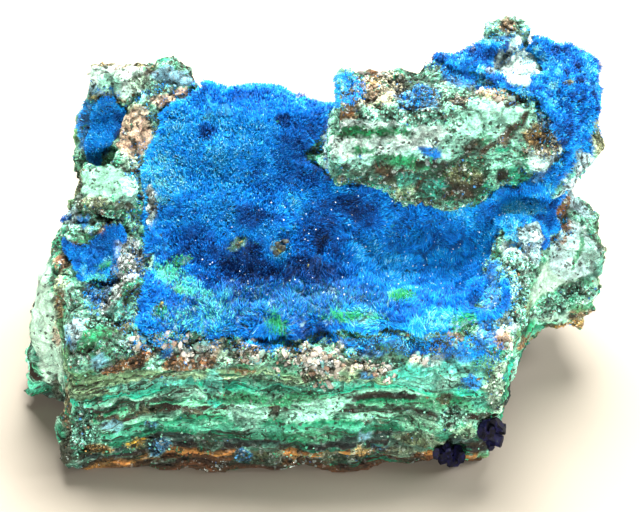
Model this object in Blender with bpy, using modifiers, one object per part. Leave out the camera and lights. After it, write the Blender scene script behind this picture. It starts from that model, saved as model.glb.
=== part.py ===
"""Cyanotrichite on banded copper ore: a hand specimen about 80 mm wide, with a velvet crust in a hollow.

One rock (the matrix) is built from overlapping masses that are fused, hollowed and weathered.
Each crust is the rock swollen over a patch of its own surface, less the rock itself.
The azurite grows in two clusters low on the front face.
The frame is +Z up and +X to the specimen's right, with the banded front face towards -Y.
The origin is on the surface that it rests on, below the middle of its box.
"""

import math
import random

import bmesh
import bpy
from mathutils import Euler, Matrix, Vector, noise
from mathutils.bvhtree import BVHTree

MM = 0.001

# ---------------------------------------------------------------- driving dimensions, in millimetres
VOXEL = 0.8  # grid that fuses the masses
SEAM_GAP = 0.3  # clearance between the rock and what grows on it
SHARPEST = 0.35  # cosine past which a sharp corner of the rock grows no further for its clearance
ROCK_FACES = 4780

FRONT = -22.5  # the front face
LIP_HEIGHT = 20.6  # the rock at the hollow's front lip
LIP_DEPTH, LIP_DROP = 6.0, 3.4  # the worn edge between the lip and the front face
BED_PITCH = 0.10  # how the hollow's floor rises towards the back
BANK_FOOT_LEFT, BANK_FOOT_RIGHT = -8.0, 4.0  # where the bank starts to climb, towards the back
CREST, CREST_HEIGHT = 14.5, 36.8  # the bank's crest
CREST_DIP_LEFT, CREST_DIP_RIGHT = 3.4, 2.6
BACK_FALL = 0.8  # how the rock falls away behind the crest
RIM_RISE = 3.0  # the hollow's right edge above its floor
# Dips and swells of the hollow's floor: middle, reach and depth (less than nothing where it swells).
DIPS = (
    ((16, 0), (14, 9), 4.4),
    ((-6, -7), (12, 8), 1.6),
    ((-7, 3), (5, 4), -1.2),
    ((10, -12), (8, 4), -1.2),
)

# Masses of the rock: name, centre, size, turn about X, Y and Z in degrees, roundness from 0 to 1.
BODY = (
    ("slab", (-4.4, -5.3, 12), (58, 32.6, 27), (0, 0, 0), 0.05),
    ("bank", (-1, 7.5, 21), (49.5, 24.5, 42), (0, 0, 0), 0.08),
    ("rear_base", (1, 10.5, 14), (63, 19, 27), (0, 0, 0), 0.25),
    ("left_flank", (-26.6, -0.5, 16.5), (7.5, 29, 30), (8, 14, 0), 0.2),
    ("left_corner", (-30.6, -13.7, 10.5), (8.8, 14.5, 19), (0, -4, 8), 0.2),
    ("left_core", (-30.0, 0.0, 9.8), (10, 26, 20), (0, 0, 0), 0.1),
)
# Masses that stand on or beside the body, added once the bed is cut into it.
BLOCKS = (
    ("right_rim", (24.7, -9.5, 12.9), (6, 24.5, 25), (9, 6, -15), 0.15),
    ("left_slab", (-34.0, 1.0, 12.3), (9, 22.5, 25), (4, 9, -8), 0.3),
    ("left_slab_top", (-32.0, 4.0, 24.0), (6.5, 12, 12), (0, 24, -4), 0.3),
    ("left_spur", (-25.8, -5.0, 21.6), (3.6, 14, 5), (-3, 0, 12), 0.3),
    ("back_ridge", (-26.0, 18.4, 24.4), (17, 4.8, 34.5), (0, 5, -2), 0.08),
    ("back_left", (-27.6, 13.5, 18), (8.5, 11.5, 27), (0, 8, 0), 0.2),
    ("back_foot", (-2, 17.8, 13), (48, 6, 20), (10, 0, 3), 0.3),
    ("back_bulge", (10, 18.6, 12), (24, 7, 17), (8, 8, 8), 0.4),
    ("back_step", (-16, 18.8, 8), (18, 7, 13), (-6, -8, -7), 0.35),
    ("mound", (30.6, 15.2, 34.2), (15.6, 11.6, 15.6), (0, 3, 0), 0.32),
    ("shoulder", (30.2, 9.0, 32.6), (9, 8, 13), (0, 8, -20), 0.5),
    ("mound_root", (28.6, 14.0, 22), (14.5, 12.5, 22), (0, 6, 0), 0.3),
    ("ledge", (15.6, 9.6, 36.2), (28, 12.8, 15), (2, 3, 2), 0.12),
    ("ledge_root", (16.5, 6.0, 28.0), (17, 7, 6.5), (0, 5, 0), 0.7),
    ("right_chunk", (32.0, 7.3, 14.0), (15, 13.5, 17.5), (0, 14, 10), 0.22),
    ("front_left_foot", (-31.8, -18.8, 3.2), (9, 7, 6.5), (0, 0, 20), 0.3),
    ("pale_ledge", (-28.9, 4.0, 29.6), (7.5, 9, 4.5), (10, -8, 10), 0.15),
    ("lower_lobe", (-31.3, -14.8, 17.6), (6.6, 8, 6), (0, -20, 20), 0.6),
    ("knob", (26.0, 18.2, 44.9), (3.2, 2.8, 4.4), (0, 20, 10), 0.4),
)
BLOCK_CUTS = 4  # cuts across each side of a block, so that it can be rounded
# Grooves sunk in the rock afterwards: centre, radii, turn.
GROOVES = (
    ((-30.9, -2.6, 26.8), (1.9, 7.0, 2.7), (4, 0, -16)),
    ((-29.5, 9.6, 31.5), (2.4, 2.0, 5.0), (0, 6, 0)),
)
# Rounded lumps of pale crystal, mostly along the lip: centre and radius.
NODULES = (
    ((-8.4, -20.4, 19.8), 1.9), ((-5.4, -20.8, 19.6), 1.5), ((-1.4, -20.6, 20.0), 1.8),
    ((1.2, -21.2, 18.8), 1.7), ((3.6, -21.4, 18.0), 1.8), ((-2.6, -21.8, 18.2), 1.4),
    ((6.2, -21.6, 18.2), 1.8), ((9.2, -21.6, 17.6), 1.5), ((13.6, -21.0, 18.6), 1.7),
    ((16.1, -18.2, 20.0), 1.9), ((18.6, -18.8, 19.6), 1.5), ((24.4, -18.6, 20.4), 1.6),
    ((22.6, 13.6, 38.2), 1.9), ((25.0, 12.8, 38.4), 1.7), ((27.2, 11.8, 38.4), 1.6),
    ((-25.9, 9.9, 31.0), 1.6), ((-26.3, 11.3, 33.0), 1.8), ((-25.8, 12.3, 35.0), 1.7),
    ((-24.2, 13.3, 36.1), 1.6), ((-22.0, 14.2, 36.6), 1.5), ((-19.7, 14.8, 36.7), 1.4),
    ((-17.8, 14.9, 36.1), 1.1),
)
# Weathering: how far the rock is worn in and out, and over what distance.
LUMPS, LUMP_SIZE = 1.4, 12.0
BACK_LUMPS = 1.6  # the broken back is this much lumpier
CRAGS, CRAG_SIZE, CRAG_MIDDLE = 1.4, 4.6, 0.75
STRATA, STRATUM, STRATA_DIP = 0.75, 4.3, 0.06
BED_WEAR = 0.35  # the hollow's bed is smoother than the broken faces
BED_REACH = 2.0  # rock within this of the bed's height belongs to it

# Crusts: each patch is held by ellipsoids, less ellipsoids left bare, as centre and radii.
CRUST_THICKNESS = 1.7  # length of the needles above the seam, root to tip
CRUST_SINK = 0.9  # how far the swollen rock is drawn in away from a crust's patch
CRUST_VOXEL = 0.9
CRUST_DETAIL = 5400  # triangles of the swollen rock that the crusts are cut from
TUFT, TUFT_SIZE = 0.55, 3.4  # swell of the crust's surface, and the spacing of its tufts
PATCH_WANDER, PATCH_FRAY = (1.8, 6.0), (0.9, 2.4)  # how a patch's edge strays, and over what distance
VELVET_BED = (-24.4, 27.8, -18.2, 18.2)  # reach of the hollow's velvet: left, right, front, back
RIM_LEAN = 0.2  # how fast the velvet's right edge runs outwards towards the back
VELVET_ZONES = (
    ((33.0, 12.6, 38.0), (12.5, 8.4, 12.0)),
    ((30.0, 4.5, 28.0), (6.5, 8.0, 6.5)),
    ((28.4, 0.0, 26.0), (4.0, 4.5, 4.0)),
    ((21.0, 15.2, 42.6), (5.0, 3.4, 3.6)),
)
VELVET_BARE = (
    ((27.4, 13.6, 42.0), (3.0, 3.2, 3.4)),
    ((26.0, 18.2, 46.8), (2.6, 2.6, 3.0)),
    ((14.0, 4.6, 36.0), (17.5, 9.5, 9.0)),
    ((28.5, 4.5, 34.0), (4.6, 4.0, 3.6)),
    ((-25.6, 11.0, 34.5), (2.6, 3.6, 3.4)),
    ((-20.5, 14.6, 37.5), (3.4, 1.6, 2.0)),
)
RECESS_ZONES = (((-29.6, 15.0, 31.0), (3.6, 4.0, 5.5)),)
FLANK_ZONES = (((-30.6, -2.4, 24.4), (3.4, 7.6, 3.2)),)
CRUSTS = (
    ("cyanotrichite_crust", VELVET_ZONES, VELVET_BARE),
    ("crust_left_recess", RECESS_ZONES, ()),
    ("crust_left_flank", FLANK_ZONES, ()),
)
HOLLOW_CRUST = "cyanotrichite_crust"  # the crust that also covers the bed

# Azurite clusters: name, middle in X and Z on the front face, reach to each side, number of crystals.
AZURITE = (
    ("azurite_low", (18.0, 3.0), (1.8, 1.6), 8),
    ("azurite_side", (23.6, 6.0), (1.2, 2.2), 8),
)
CRYSTAL_RADIUS, CRYSTAL_TIP, CRYSTAL_LENGTH = 1.5, 1.1, 2.6
CRYSTAL_SIDES = 6
CRYSTAL_STAND = 0.5  # how far a crystal's middle stands out of the rock
CRYSTAL_LEAN = 0.7

# Finish: colour, roughness and metallic value.
ROCK_FINISH = ((0.33, 0.42, 0.31), 0.85, 0.0)
VELVET_FINISH = ((0.02, 0.16, 0.55), 0.7, 0.0)
AZURITE_FINISH = ((0.015, 0.015, 0.12), 0.3, 0.0)


# ---------------------------------------------------------------- small maths
def smooth_step(low, high, value):
    """0 on low's side, 1 on high's side and a smooth change between."""
    t = max(0.0, min(1.0, (value - low) / (high - low)))
    return t * t * (3 - 2 * t)


def hump(x, y, middle, reach):
    """A bell-shaped rise, 1 high at its middle."""
    return math.exp(-(((x - middle[0]) / reach[0]) ** 2) - ((y - middle[1]) / reach[1]) ** 2)


def crest_height(x):
    """Height of the crest behind the velvet bank: highest left of the middle."""
    dip_left = CREST_DIP_LEFT * smooth_step(-15, -27, x)
    dip_right = CREST_DIP_RIGHT * smooth_step(-9, 2, x)
    return CREST_HEIGHT - dip_left - dip_right


def bed_height(x, y):
    """Height of the rock under the velvet: up from the lip, down into the hollow, up the bank."""
    foot = BANK_FOOT_LEFT + (BANK_FOOT_RIGHT - BANK_FOOT_LEFT) * smooth_step(-8, 14, x)
    climb = smooth_step(foot, CREST, y)
    low = LIP_HEIGHT + BED_PITCH * (y - FRONT) * (1 - climb)
    low += RIM_RISE * smooth_step(19, 28, x)
    low -= LIP_DROP * (1 - smooth_step(FRONT, FRONT + LIP_DEPTH, y))
    low -= sum(depth * hump(x, y, middle, reach) for middle, reach, depth in DIPS)
    fall = BACK_FALL * max(0.0, y - CREST - 1.5)
    return low + (crest_height(x) - low) * climb - fall


def stray(point, amount, distance):
    """A smooth random offset of up to about amount, that changes over distance."""
    shifts = (Vector((9.7 * k, 0, 0)) for k in range(3))
    return amount * Vector([noise.noise(point / distance + shift) for shift in shifts])


# ---------------------------------------------------------------- shapes
def placed(centre, size, turn):
    """A matrix in metres that scales a shape two units wide to size, turns it and moves it to centre."""
    angles = [math.radians(a) for a in turn]
    scale = Matrix.Diagonal([s * MM / 2 for s in size]).to_4x4()
    return Matrix.Translation(Vector(centre) * MM) @ Euler(angles).to_matrix().to_4x4() @ scale


def add_block(bm, centre, size, turn, roundness):
    """A block whose corners are drawn in towards an ellipsoid as far as roundness says."""
    first = len(bm.verts)
    corners = bmesh.ops.create_cube(bm, size=2)["verts"]
    edges = list({e for v in corners for e in v.link_edges})
    bmesh.ops.subdivide_edges(bm, edges=edges, cuts=BLOCK_CUTS, use_grid_fill=True)
    bm.verts.ensure_lookup_table()
    verts = bm.verts[first:]
    for v in verts:
        v.co = v.co.lerp(v.co.normalized(), roundness)
    bmesh.ops.transform(bm, matrix=placed(centre, size, turn), verts=verts)


def add_ellipsoid(bm, centre, radii, turn):
    made = bmesh.ops.create_icosphere(bm, subdivisions=3, radius=1)
    size = [2 * r for r in radii]
    bmesh.ops.transform(bm, matrix=placed(centre, size, turn), verts=made["verts"])


def object_from(bm, name, collection):
    mesh = bpy.data.meshes.new(name)
    bm.to_mesh(mesh)
    bm.free()
    obj = bpy.data.objects.new(name, mesh)
    collection.objects.link(obj)
    return obj


def opened(obj):
    bm = bmesh.new()
    bm.from_mesh(obj.data)
    bm.normal_update()
    return bm


def closed(bm, obj):
    bm.to_mesh(obj.data)
    bm.free()


def settled(obj):
    """Replaces the object's mesh by what its modifiers make of it."""
    graph = bpy.context.evaluated_depsgraph_get()
    mesh = bpy.data.meshes.new_from_object(obj.evaluated_get(graph))
    obj.modifiers.clear()
    obj.data = mesh
    mesh.name = obj.name
    return obj


def fuse(obj, voxel):
    """Makes one closed skin of all the shells in the object."""
    remesh = obj.modifiers.new("fuse", "REMESH")
    remesh.mode = "VOXEL"
    remesh.voxel_size = voxel * MM
    return settled(obj)


def boolean(obj, cutter, operation):
    """Joins the cutter to the object or cuts it away, and removes the cutter."""
    modifier = obj.modifiers.new(operation.lower(), "BOOLEAN")
    modifier.operation = operation
    modifier.object = cutter
    settled(obj)
    bpy.data.objects.remove(cutter)
    return obj


def thin_out(obj, faces):
    """Cuts the mesh down to about this many triangles, which also leaves it faceted like broken rock."""
    triangles = sum(len(p.vertices) - 2 for p in obj.data.polygons)
    decimate = obj.modifiers.new("thin_out", "DECIMATE")
    decimate.ratio = min(1.0, faces / triangles)
    return settled(obj)


def grown(obj, distance, name, collection):
    """A copy of the object whose faces have all moved outwards by at least this distance."""
    bm = opened(obj)
    moves = []
    for v in bm.verts:
        facing = min(v.normal.dot(f.normal) for f in v.link_faces)
        moves.append(v.normal * distance * MM / max(facing, SHARPEST))
    for v, move in zip(bm.verts, moves):
        v.co += move
    return object_from(bm, name, collection)


def keep_largest(obj):
    """Removes every loose piece of the mesh but the largest."""
    bm = opened(obj)
    pieces = []
    unseen = set(bm.verts)
    while unseen:
        piece = []
        front = [unseen.pop()]
        while front:
            v = front.pop()
            piece.append(v)
            near = {e.other_vert(v) for e in v.link_edges} & unseen
            unseen -= near
            front.extend(near)
        pieces.append(piece)
    pieces.sort(key=len)
    loose = [v for piece in pieces[:-1] for v in piece]
    bmesh.ops.delete(bm, geom=loose, context="VERTS")
    closed(bm, obj)
    return obj


def finish(obj, look):
    colour, roughness, metallic = look
    material = bpy.data.materials.new(obj.name)
    material.use_nodes = True
    shader = material.node_tree.nodes["Principled BSDF"]
    shader.inputs["Base Color"].default_value = (*colour, 1)
    shader.inputs["Roughness"].default_value = roughness
    shader.inputs["Metallic"].default_value = metallic
    material.diffuse_color = (*colour, 1)
    obj.data.materials.clear()
    obj.data.materials.append(material)


# ---------------------------------------------------------------- the rock
def bed_cutter(helpers):
    """Everything above the bed: a sheet at bed height, drawn up over the top of the rock."""
    bm = bmesh.new()
    sheet = bmesh.ops.create_grid(bm, x_segments=70, y_segments=60, size=1)
    for v in sheet["verts"]:
        x, y = 45 * v.co.x, 36 * v.co.y
        v.co = Vector((x, y, bed_height(x, y))) * MM
    drawn = bmesh.ops.extrude_face_region(bm, geom=bm.faces[:])["geom"]
    for v in drawn:
        if isinstance(v, bmesh.types.BMVert):
            v.co.z = 60 * MM
    bmesh.ops.recalc_face_normals(bm, faces=bm.faces[:])
    return object_from(bm, "bed_cutter", helpers)


def wear(point, normal):
    """How far the weather has moved a point of the rock along its normal, all in millimetres."""
    lumps = LUMPS * noise.noise(point / LUMP_SIZE + Vector((3.1, 0, 7.7)))
    lumps *= 1 + BACK_LUMPS * smooth_step(14, 19, point.y)
    crags = CRAGS * (noise.turbulence(point / CRAG_SIZE, 3, True) - CRAG_MIDDLE)
    warp = 0.9 * noise.noise(point / 11) + 0.35 * noise.noise(point / 4)
    level = (point.z + STRATA_DIP * point.x) / STRATUM + warp
    across = level - math.floor(level)
    step = smooth_step(0.0, 0.55, across) * smooth_step(1.0, 0.75, across)
    upright = smooth_step(0.3, 0.8, math.hypot(normal.x, normal.y))
    on_bed = abs(point.z - bed_height(point.x, point.y)) < BED_REACH and normal.z > 0.3
    return (lumps + crags) * (BED_WEAR if on_bed else 1) + STRATA * upright * (2 * step - 1)


def weather(rock):
    bm = opened(rock)
    moves = [v.normal * wear(v.co / MM, v.normal) * MM for v in bm.verts]
    for v, move in zip(bm.verts, moves):
        v.co += move
    closed(bm, rock)


def build_rock(collection, helpers):
    bm = bmesh.new()
    for _, *block in BODY:
        add_block(bm, *block)
    rock = fuse(object_from(bm, "matrix", collection), VOXEL)
    boolean(rock, bed_cutter(helpers), "DIFFERENCE")
    bm = opened(rock)
    for _, *block in BLOCKS:
        add_block(bm, *block)
    closed(bm, rock)
    fuse(rock, VOXEL)
    for groove in GROOVES:
        bm = bmesh.new()
        add_ellipsoid(bm, *groove)
        boolean(rock, object_from(bm, "groove_cutter", helpers), "DIFFERENCE")
    weather(rock)
    bm = opened(rock)
    for centre, radius in NODULES:
        add_ellipsoid(bm, centre, (radius, radius, radius), (0, 0, 0))
    closed(bm, rock)
    fuse(rock, VOXEL)
    thin_out(rock, ROCK_FACES)
    bm = bmesh.new()
    add_block(bm, (0, 0, -5), (120, 80, 10), (0, 0, 0), 0)
    boolean(rock, object_from(bm, "ground_cutter", helpers), "DIFFERENCE")
    return keep_largest(rock)


# ---------------------------------------------------------------- what grows on the rock
def in_zones(point, zones):
    for centre, radii in zones:
        away = point - Vector(centre)
        if sum((a / r) ** 2 for a, r in zip(away, radii)) < 1:
            return True
    return False


def on_velvet_bed(point):
    left, right, front, back = VELVET_BED
    inside = left < point.x < right + RIM_LEAN * point.y and front < point.y < back
    return inside and abs(point.z - bed_height(point.x, point.y)) < BED_REACH


def swell(point, name, zones, bare):
    """How far a point of the rock moves out to make a crust, less than nothing outside its patch."""
    strayed = point + stray(point, *PATCH_WANDER) + stray(point, *PATCH_FRAY)
    inside = in_zones(strayed, zones)
    if name == HOLLOW_CRUST:
        inside = inside or on_velvet_bed(strayed)
    if not inside or in_zones(strayed, bare):
        return -CRUST_SINK
    from_middle = noise.voronoi(point / TUFT_SIZE)[0][0]
    return CRUST_THICKNESS + TUFT * (1 - 2 * min(1.0, 1.2 * from_middle))


def cleared(obj, rock, helpers):
    """Cuts the rock and its clearance away. The thinner cut reaches creases that the full one skips."""
    for gap in (SEAM_GAP, SEAM_GAP / 3):
        boolean(obj, grown(rock, gap, "grown_rock", helpers), "DIFFERENCE")
    return keep_largest(obj)


def build_crust(rock, collection, helpers, name, zones, bare):
    crust = grown(rock, 0, name, collection)
    fuse(crust, CRUST_VOXEL)
    bm = opened(crust)
    moves = [v.normal * swell(v.co / MM, name, zones, bare) * MM for v in bm.verts]
    for v, move in zip(bm.verts, moves):
        v.co += move
    closed(bm, crust)
    fuse(crust, CRUST_VOXEL)
    thin_out(crust, CRUST_DETAIL)
    return cleared(crust, rock, helpers)


def add_crystal(bm, where, outward, rng):
    """A flattened six-sided crystal that narrows to its end, standing out of the rock at a lean."""
    lean = Vector([rng.uniform(-CRYSTAL_LEAN, CRYSTAL_LEAN) for _ in range(3)])
    turn = (outward + lean).to_track_quat("Z", "X").to_matrix().to_4x4()
    size = rng.uniform(0.75, 1.15)
    flat = Matrix.Diagonal((size, size * rng.uniform(0.4, 0.6), size, 1))
    bmesh.ops.create_cone(
        bm, cap_ends=True, segments=CRYSTAL_SIDES, depth=CRYSTAL_LENGTH * MM,
        radius1=CRYSTAL_RADIUS * MM, radius2=CRYSTAL_TIP * MM,
        matrix=Matrix.Translation(where) @ turn @ flat,
    )


def build_azurite(rock, collection, helpers, name, middle, reach, count):
    bm = opened(rock)
    surface = BVHTree.FromBMesh(bm)
    bm.free()
    rng = random.Random(name)
    cluster = None
    for _ in range(count):
        x = middle[0] + rng.uniform(-1, 1) * reach[0]
        z = middle[1] + rng.uniform(-1, 1) * reach[1]
        where, outward, _, _ = surface.ray_cast(Vector((x, 2 * FRONT, z)) * MM, Vector((0, 1, 0)))
        bm = bmesh.new()
        add_crystal(bm, where + outward * CRYSTAL_STAND * MM, outward, rng)
        if cluster is None:
            cluster = object_from(bm, name, collection)
        else:
            boolean(cluster, object_from(bm, "crystal", helpers), "UNION")
    return cleared(cluster, rock, helpers)


# ---------------------------------------------------------------- the whole specimen
def centre_over_origin(objects):
    corners = [v.co for obj in objects for v in obj.data.vertices]
    middle = [(min(c[k] for c in corners) + max(c[k] for c in corners)) / 2 for k in range(2)]
    shift = Matrix.Translation((-middle[0], -middle[1], 0))
    for obj in objects:
        obj.data.transform(shift)


def main():
    for obj in list(bpy.data.objects):
        bpy.data.objects.remove(obj)
    parts = bpy.data.collections.new("cyanotrichite_specimen")
    helpers = bpy.data.collections.new("helpers")
    for collection in (parts, helpers):
        bpy.context.scene.collection.children.link(collection)
    rock = build_rock(parts, helpers)
    finish(rock, ROCK_FINISH)
    for crust in CRUSTS:
        finish(build_crust(rock, parts, helpers, *crust), VELVET_FINISH)
    for cluster in AZURITE:
        finish(build_azurite(rock, parts, helpers, *cluster), AZURITE_FINISH)
    centre_over_origin(parts.objects)
    bpy.data.collections.remove(helpers)


main()
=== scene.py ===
"""The looks of the cyanotrichite specimen: banded rock, grains, velvet needles and azurite.

Positions are in millimetres from the point below the middle of the specimen: +X right, -Y front, +Z up.
A patch of colour is placed by its spot in the camera's view, and is an ellipsoid there on the specimen that
leans back by LEAN, so its height runs up a sloping surface.
"""

import math

import bmesh
import bpy
import numpy as np
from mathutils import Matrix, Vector, noise
from mathutils.bvhtree import BVHTree
from mathutils.kdtree import KDTree


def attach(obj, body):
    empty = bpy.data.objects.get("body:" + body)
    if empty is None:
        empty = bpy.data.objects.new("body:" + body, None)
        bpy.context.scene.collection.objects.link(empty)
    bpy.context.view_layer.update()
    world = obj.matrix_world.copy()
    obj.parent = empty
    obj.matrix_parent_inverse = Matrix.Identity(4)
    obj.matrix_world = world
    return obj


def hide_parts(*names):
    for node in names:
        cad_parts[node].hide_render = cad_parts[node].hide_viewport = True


MM = 0.001
LEAN = math.radians(38)
VIEW = (640, 512)  # the camera's view in pixels
VIEW_TARGET = (0.664, -1.202, 20.5)
VIEW_DISTANCE = 400.0
LENS = 162.0
SENSOR = 36.0

SKIN_VOXEL = 0.455  # size of the rock's faces
SKIN_ROUGHNESS = ((5.5, 0.6), (2.4, 0.7), (1.2, 0.42), (0.7, 0.18))  # size of the noise and its height
CRACKS = ((4.2, 0.14, 0.9), (2.2, 0.17, 0.6), (1.3, 0.18, 0.35))  # size, width as a share, depth
NEARBY = (3, 6, 9, 13, 18, 25)  # how far beside a spot of the view the specimen is looked for
BESIDE = ((0, 0), (1, 0), (-1, 0), (0, -1), (0, 1), (1, -1), (-1, -1))  # and on which sides, in turn
WANDER = ((3.4, 0.45), (1.2, 0.3))  # how the edges of the patches wander: size and reach
CRISP = (0.90, 1.06)  # where a patch of the rock fades out, as shares of its size
SOFT = (0.55, 1.25)  # the same for a patch of the needles
PATCH_GRAIN = 0.10  # how the edges of the patches break up into grains
BED_STEP = 1.25  # spacing of the ledges that the beds weather into
BED_RELIEF = 0.85  # how far they stand out
# Heights and depths between which a part of the rock begins or ends
BEDS_TOP = (17.5, 20.5)
FOOT_TOP = (3.5, 6.5)
# below the next pair of heights the lowest, darkest beds show all round, darker towards the bottom
FOOT_BAND_TOP = (1.0, 2.4)
LEDGE_FOOT = (27, 30)
BACK = (15, 18)
BACK_TOP = (30, 34)
LEDGE_BACK = (8, 14)
MOUND_FOOT = (33.0, 37.0)
MOUND_SIDE = (12.0, 18.0)
RIGHT_WALL = (20.5, 23.5)
LEFT_WALL = (-24.5, -26.0)

CORE_VOXEL = 0.5  # size of the faces of a crust's packed roots
CORE_DEPTH = 0.85  # how far the roots lie inside the crust's outer face
NEEDLE_WIDTH = 0.1
NEEDLE_WIDTHS = (0.7, 1.3)  # how the widths vary
NEEDLE_LENGTHS = (0.7, 1.25)
NEEDLE_LIFT = (-0.4, 0.2)  # how far the tips end inside or outside the crust's face
NEEDLE_STRAY = 0.22  # how much single needles turn away from their tuft
TUFT_LEAN = (0.6, 1.6)  # how deep under a tuft its needles would meet, as shares of its width
SMALL_TUFT = (1.3, 2.6)  # widths of the tufts between which they come to fan out in full
ROCK_NEAR = 1.1  # a crust that has rock this close over it bears no needles
LONG_SIDE = (-14.0, 2.0)  # where the needles grow longer towards the front right
NEEDLES_IN_A_PIECE = 32000
TUFT_CELL = 4.0  # side of the cells in which close tufts are looked for, and the steps to the next cells
STEPS = (-1, 0, 1)
FUR_FIBRES = 31000
FUR_SPACING = 1.0
FUR_LIFT = 0.35
GRAINS = 12000
GRAIN_SIZES = (0.16, 0.46, 2.4)  # the least, how much more, and the power that makes most of them small
CRYSTALS = 360
CRYSTAL_SIZES = (0.55, 1.25, 1.6)
SPARKLES = 280
SPARKLE_SIZES = (0.10, 0.25)
# The crusts: CAD node, name, needles, seed
CRUSTS = (
    ("cyanotrichite_crust", "crust", 95000, 1),
    ("crust_left_recess", "recess", 5000, 2),
    ("crust_left_flank", "flank", 5000, 3),
)

# Colours by name: sRGB from 0 to 255, how many dark specks, how granular.
COLOURS = {
    "mint": (182, 255, 228, 0.22, 0.4),
    "mint smooth": (148, 212, 182, 0.12, 0.06),
    "mint grain": (140, 226, 200, 0.75, 1.0),
    "cream mint": (206, 246, 214, 0.4, 0.7),
    "pale": (226, 255, 244, 0.16, 0.3),
    "ice": (196, 234, 244, 0.4, 0.4),
    "sky": (140, 200, 226, 0.3, 0.3),
    "jade": (190, 226, 204, 0.06, 0.05),
    "lilac": (202, 238, 234, 0.15, 0.15),
    "sage": (92, 150, 128, 0.5, 0.5),
    "olive pale": (178, 190, 150, 0.6, 0.5),
    "green": (24, 150, 90, 0.3, 0.4),
    "lime": (150, 205, 60, 0.2, 0.3),
    "deep green": (18, 84, 56, 0.7, 0.6),
    "teal": (72, 186, 160, 0.4, 0.6),
    "turquoise": (100, 216, 200, 0.3, 0.4),
    "bright turquoise": (60, 215, 190, 0.1, 0.2),
    "bright blue": (22, 120, 205, 0.2, 0.3),
    "blue grain": (50, 130, 190, 0.7, 1.0),
    "navy": (24, 48, 92, 0.3, 0.4),
    "tan": (232, 198, 168, 0.3, 0.4),
    "nut": (196, 164, 130, 0.6, 0.8),
    "beige": (186, 174, 142, 0.9, 1.0),
    "grey grain": (208, 218, 218, 0.6, 0.7),
    "cream": (236, 226, 190, 0.3, 0.7),
    "pinkish": (150, 132, 112, 0.9, 1.0),
    "pink": (222, 160, 140, 0.3, 0.7),
    "ochre": (186, 138, 66, 0.7, 0.7),
    "gold": (214, 168, 40, 0.4, 0.5),
    "rust": (150, 92, 46, 0.6, 0.5),
    "brown": (92, 66, 46, 0.6, 0.6),
    "dark": (36, 34, 26, 0.3, 0.5),
    "olive": (122, 128, 86, 0.7, 0.6),
    "slate": (84, 96, 102, 0.5, 0.4),
}
# Beds of the rock from the foot up: height as millimetres, then the colour.
BEDS = (
    (0.0, 70, 44, 24),
    (0.9, 34, 24, 16),
    (1.8, 96, 62, 32),
    (2.6, 168, 118, 58),
    (3.3, 44, 32, 22),
    (4.2, 24, 32, 32),
    (5.2, 44, 70, 62),
    (5.8, 26, 44, 44),
    (6.4, 14, 116, 80),
    (7.2, 100, 206, 170),
    (8.2, 22, 156, 108),
    (9.2, 156, 236, 200),
    (9.7, 50, 34, 22),
    (10.5, 38, 28, 22),
    (10.8, 132, 226, 180),
    (11.7, 10, 148, 96),
    (12.0, 30, 30, 26),
    (12.5, 32, 32, 28),
    (12.8, 160, 238, 204),
    (13.5, 8, 186, 146),
    (14.5, 70, 206, 172),
    (15.1, 50, 74, 40),
    (15.5, 158, 206, 160),
    (16.0, 62, 84, 50),
    (16.4, 164, 206, 158),
    (16.9, 58, 80, 46),
    (17.5, 124, 168, 122),
    (18.3, 62, 90, 58),
    (19.2, 100, 156, 106),
)
BED_SPAN = 22.0
BED_DRAW = 0.10  # how much finer the thin layers are through a bed than along it
# Thin layers inside the beds: size, where the dark and the pale ones start, the dark ones' colour
THIN_LAYERS = (
    (0.9, 0.59, 0.40, (12, 92, 66)),
    (0.5, 0.57, 0.42, (46, 36, 24)),
)
PALE_LAYER = (1.55, 1.35, 1.42)  # how much lighter a pale layer is than its bed
# Flecks all over the rock: size, where they start and are full, colour.
FLECKS = (
    (2.2, 0.560, 0.580, (48, 160, 116)),
    (1.3, 0.595, 0.610, (120, 82, 44)),
    (1.0, 0.605, 0.620, (30, 120, 200)),
    (0.6, 0.575, 0.595, (240, 255, 246)),
    (0.8, 0.572, 0.588, (34, 38, 24)),
    (0.45, 0.585, 0.605, (30, 76, 48)),
)
ROCK_TINT = (140, 218, 186)
ROCK_TEAL = (46, 172, 130)
CHIP_GAPS = (28, 40, 24)
GLINTS = (226, 250, 240)
VEINS = (44, 52, 34)
# the colour of the painted shade in the cracks
CRACK_SHADE = (42, 38, 22)
GRAIN_WORN = (110, 130, 116)
GRAIN_DIRT = (54, 50, 36)
SPARKLE_TINT = (236, 244, 246)
CLUMP_DARK = (0.56, 0.76, 0.68, 1)  # what a dark and a pale clump of the rock multiply its colour by
CLUMP_PALE = (1.42, 1.38, 1.34, 1)
# Loose grains of another mineral: from and to as shares of all grains, colour
GRAIN_KINDS = (
    (-1.0, 0.10, (48, 46, 38)),
    (0.14, 0.20, (118, 88, 58)),
    (0.25, 0.29, (40, 120, 180)),
    (0.29, 0.36, (58, 150, 110)),
)
# The azurite: place on the scale from 0 to 1, colour
AZURITE = (
    (0.0, 2, 2, 4),
    (0.45, 4, 4, 14),
    (0.75, 12, 10, 46),
    (0.9, 22, 26, 44),
    (1.0, 50, 58, 38),
)
CRYSTAL_TINTS = (
    (150, 144, 136),
    (168, 158, 148),
    (198, 190, 178),
    (140, 130, 116),
    (112, 140, 126),
    (88, 146, 144),
    (60, 46, 34),
    (138, 108, 88),
)
# How high the same bed lies along X: X, then the rise.
BED_RISE = (
    (-42, -4),
    (-33, -3),
    (-25, -1),
    (-16.5, 1),
    (-10, 0),
    (0, 0.3),
    (8, 0.8),
    (14, 0),
    (25, -1),
    (42, -2),
)

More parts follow.
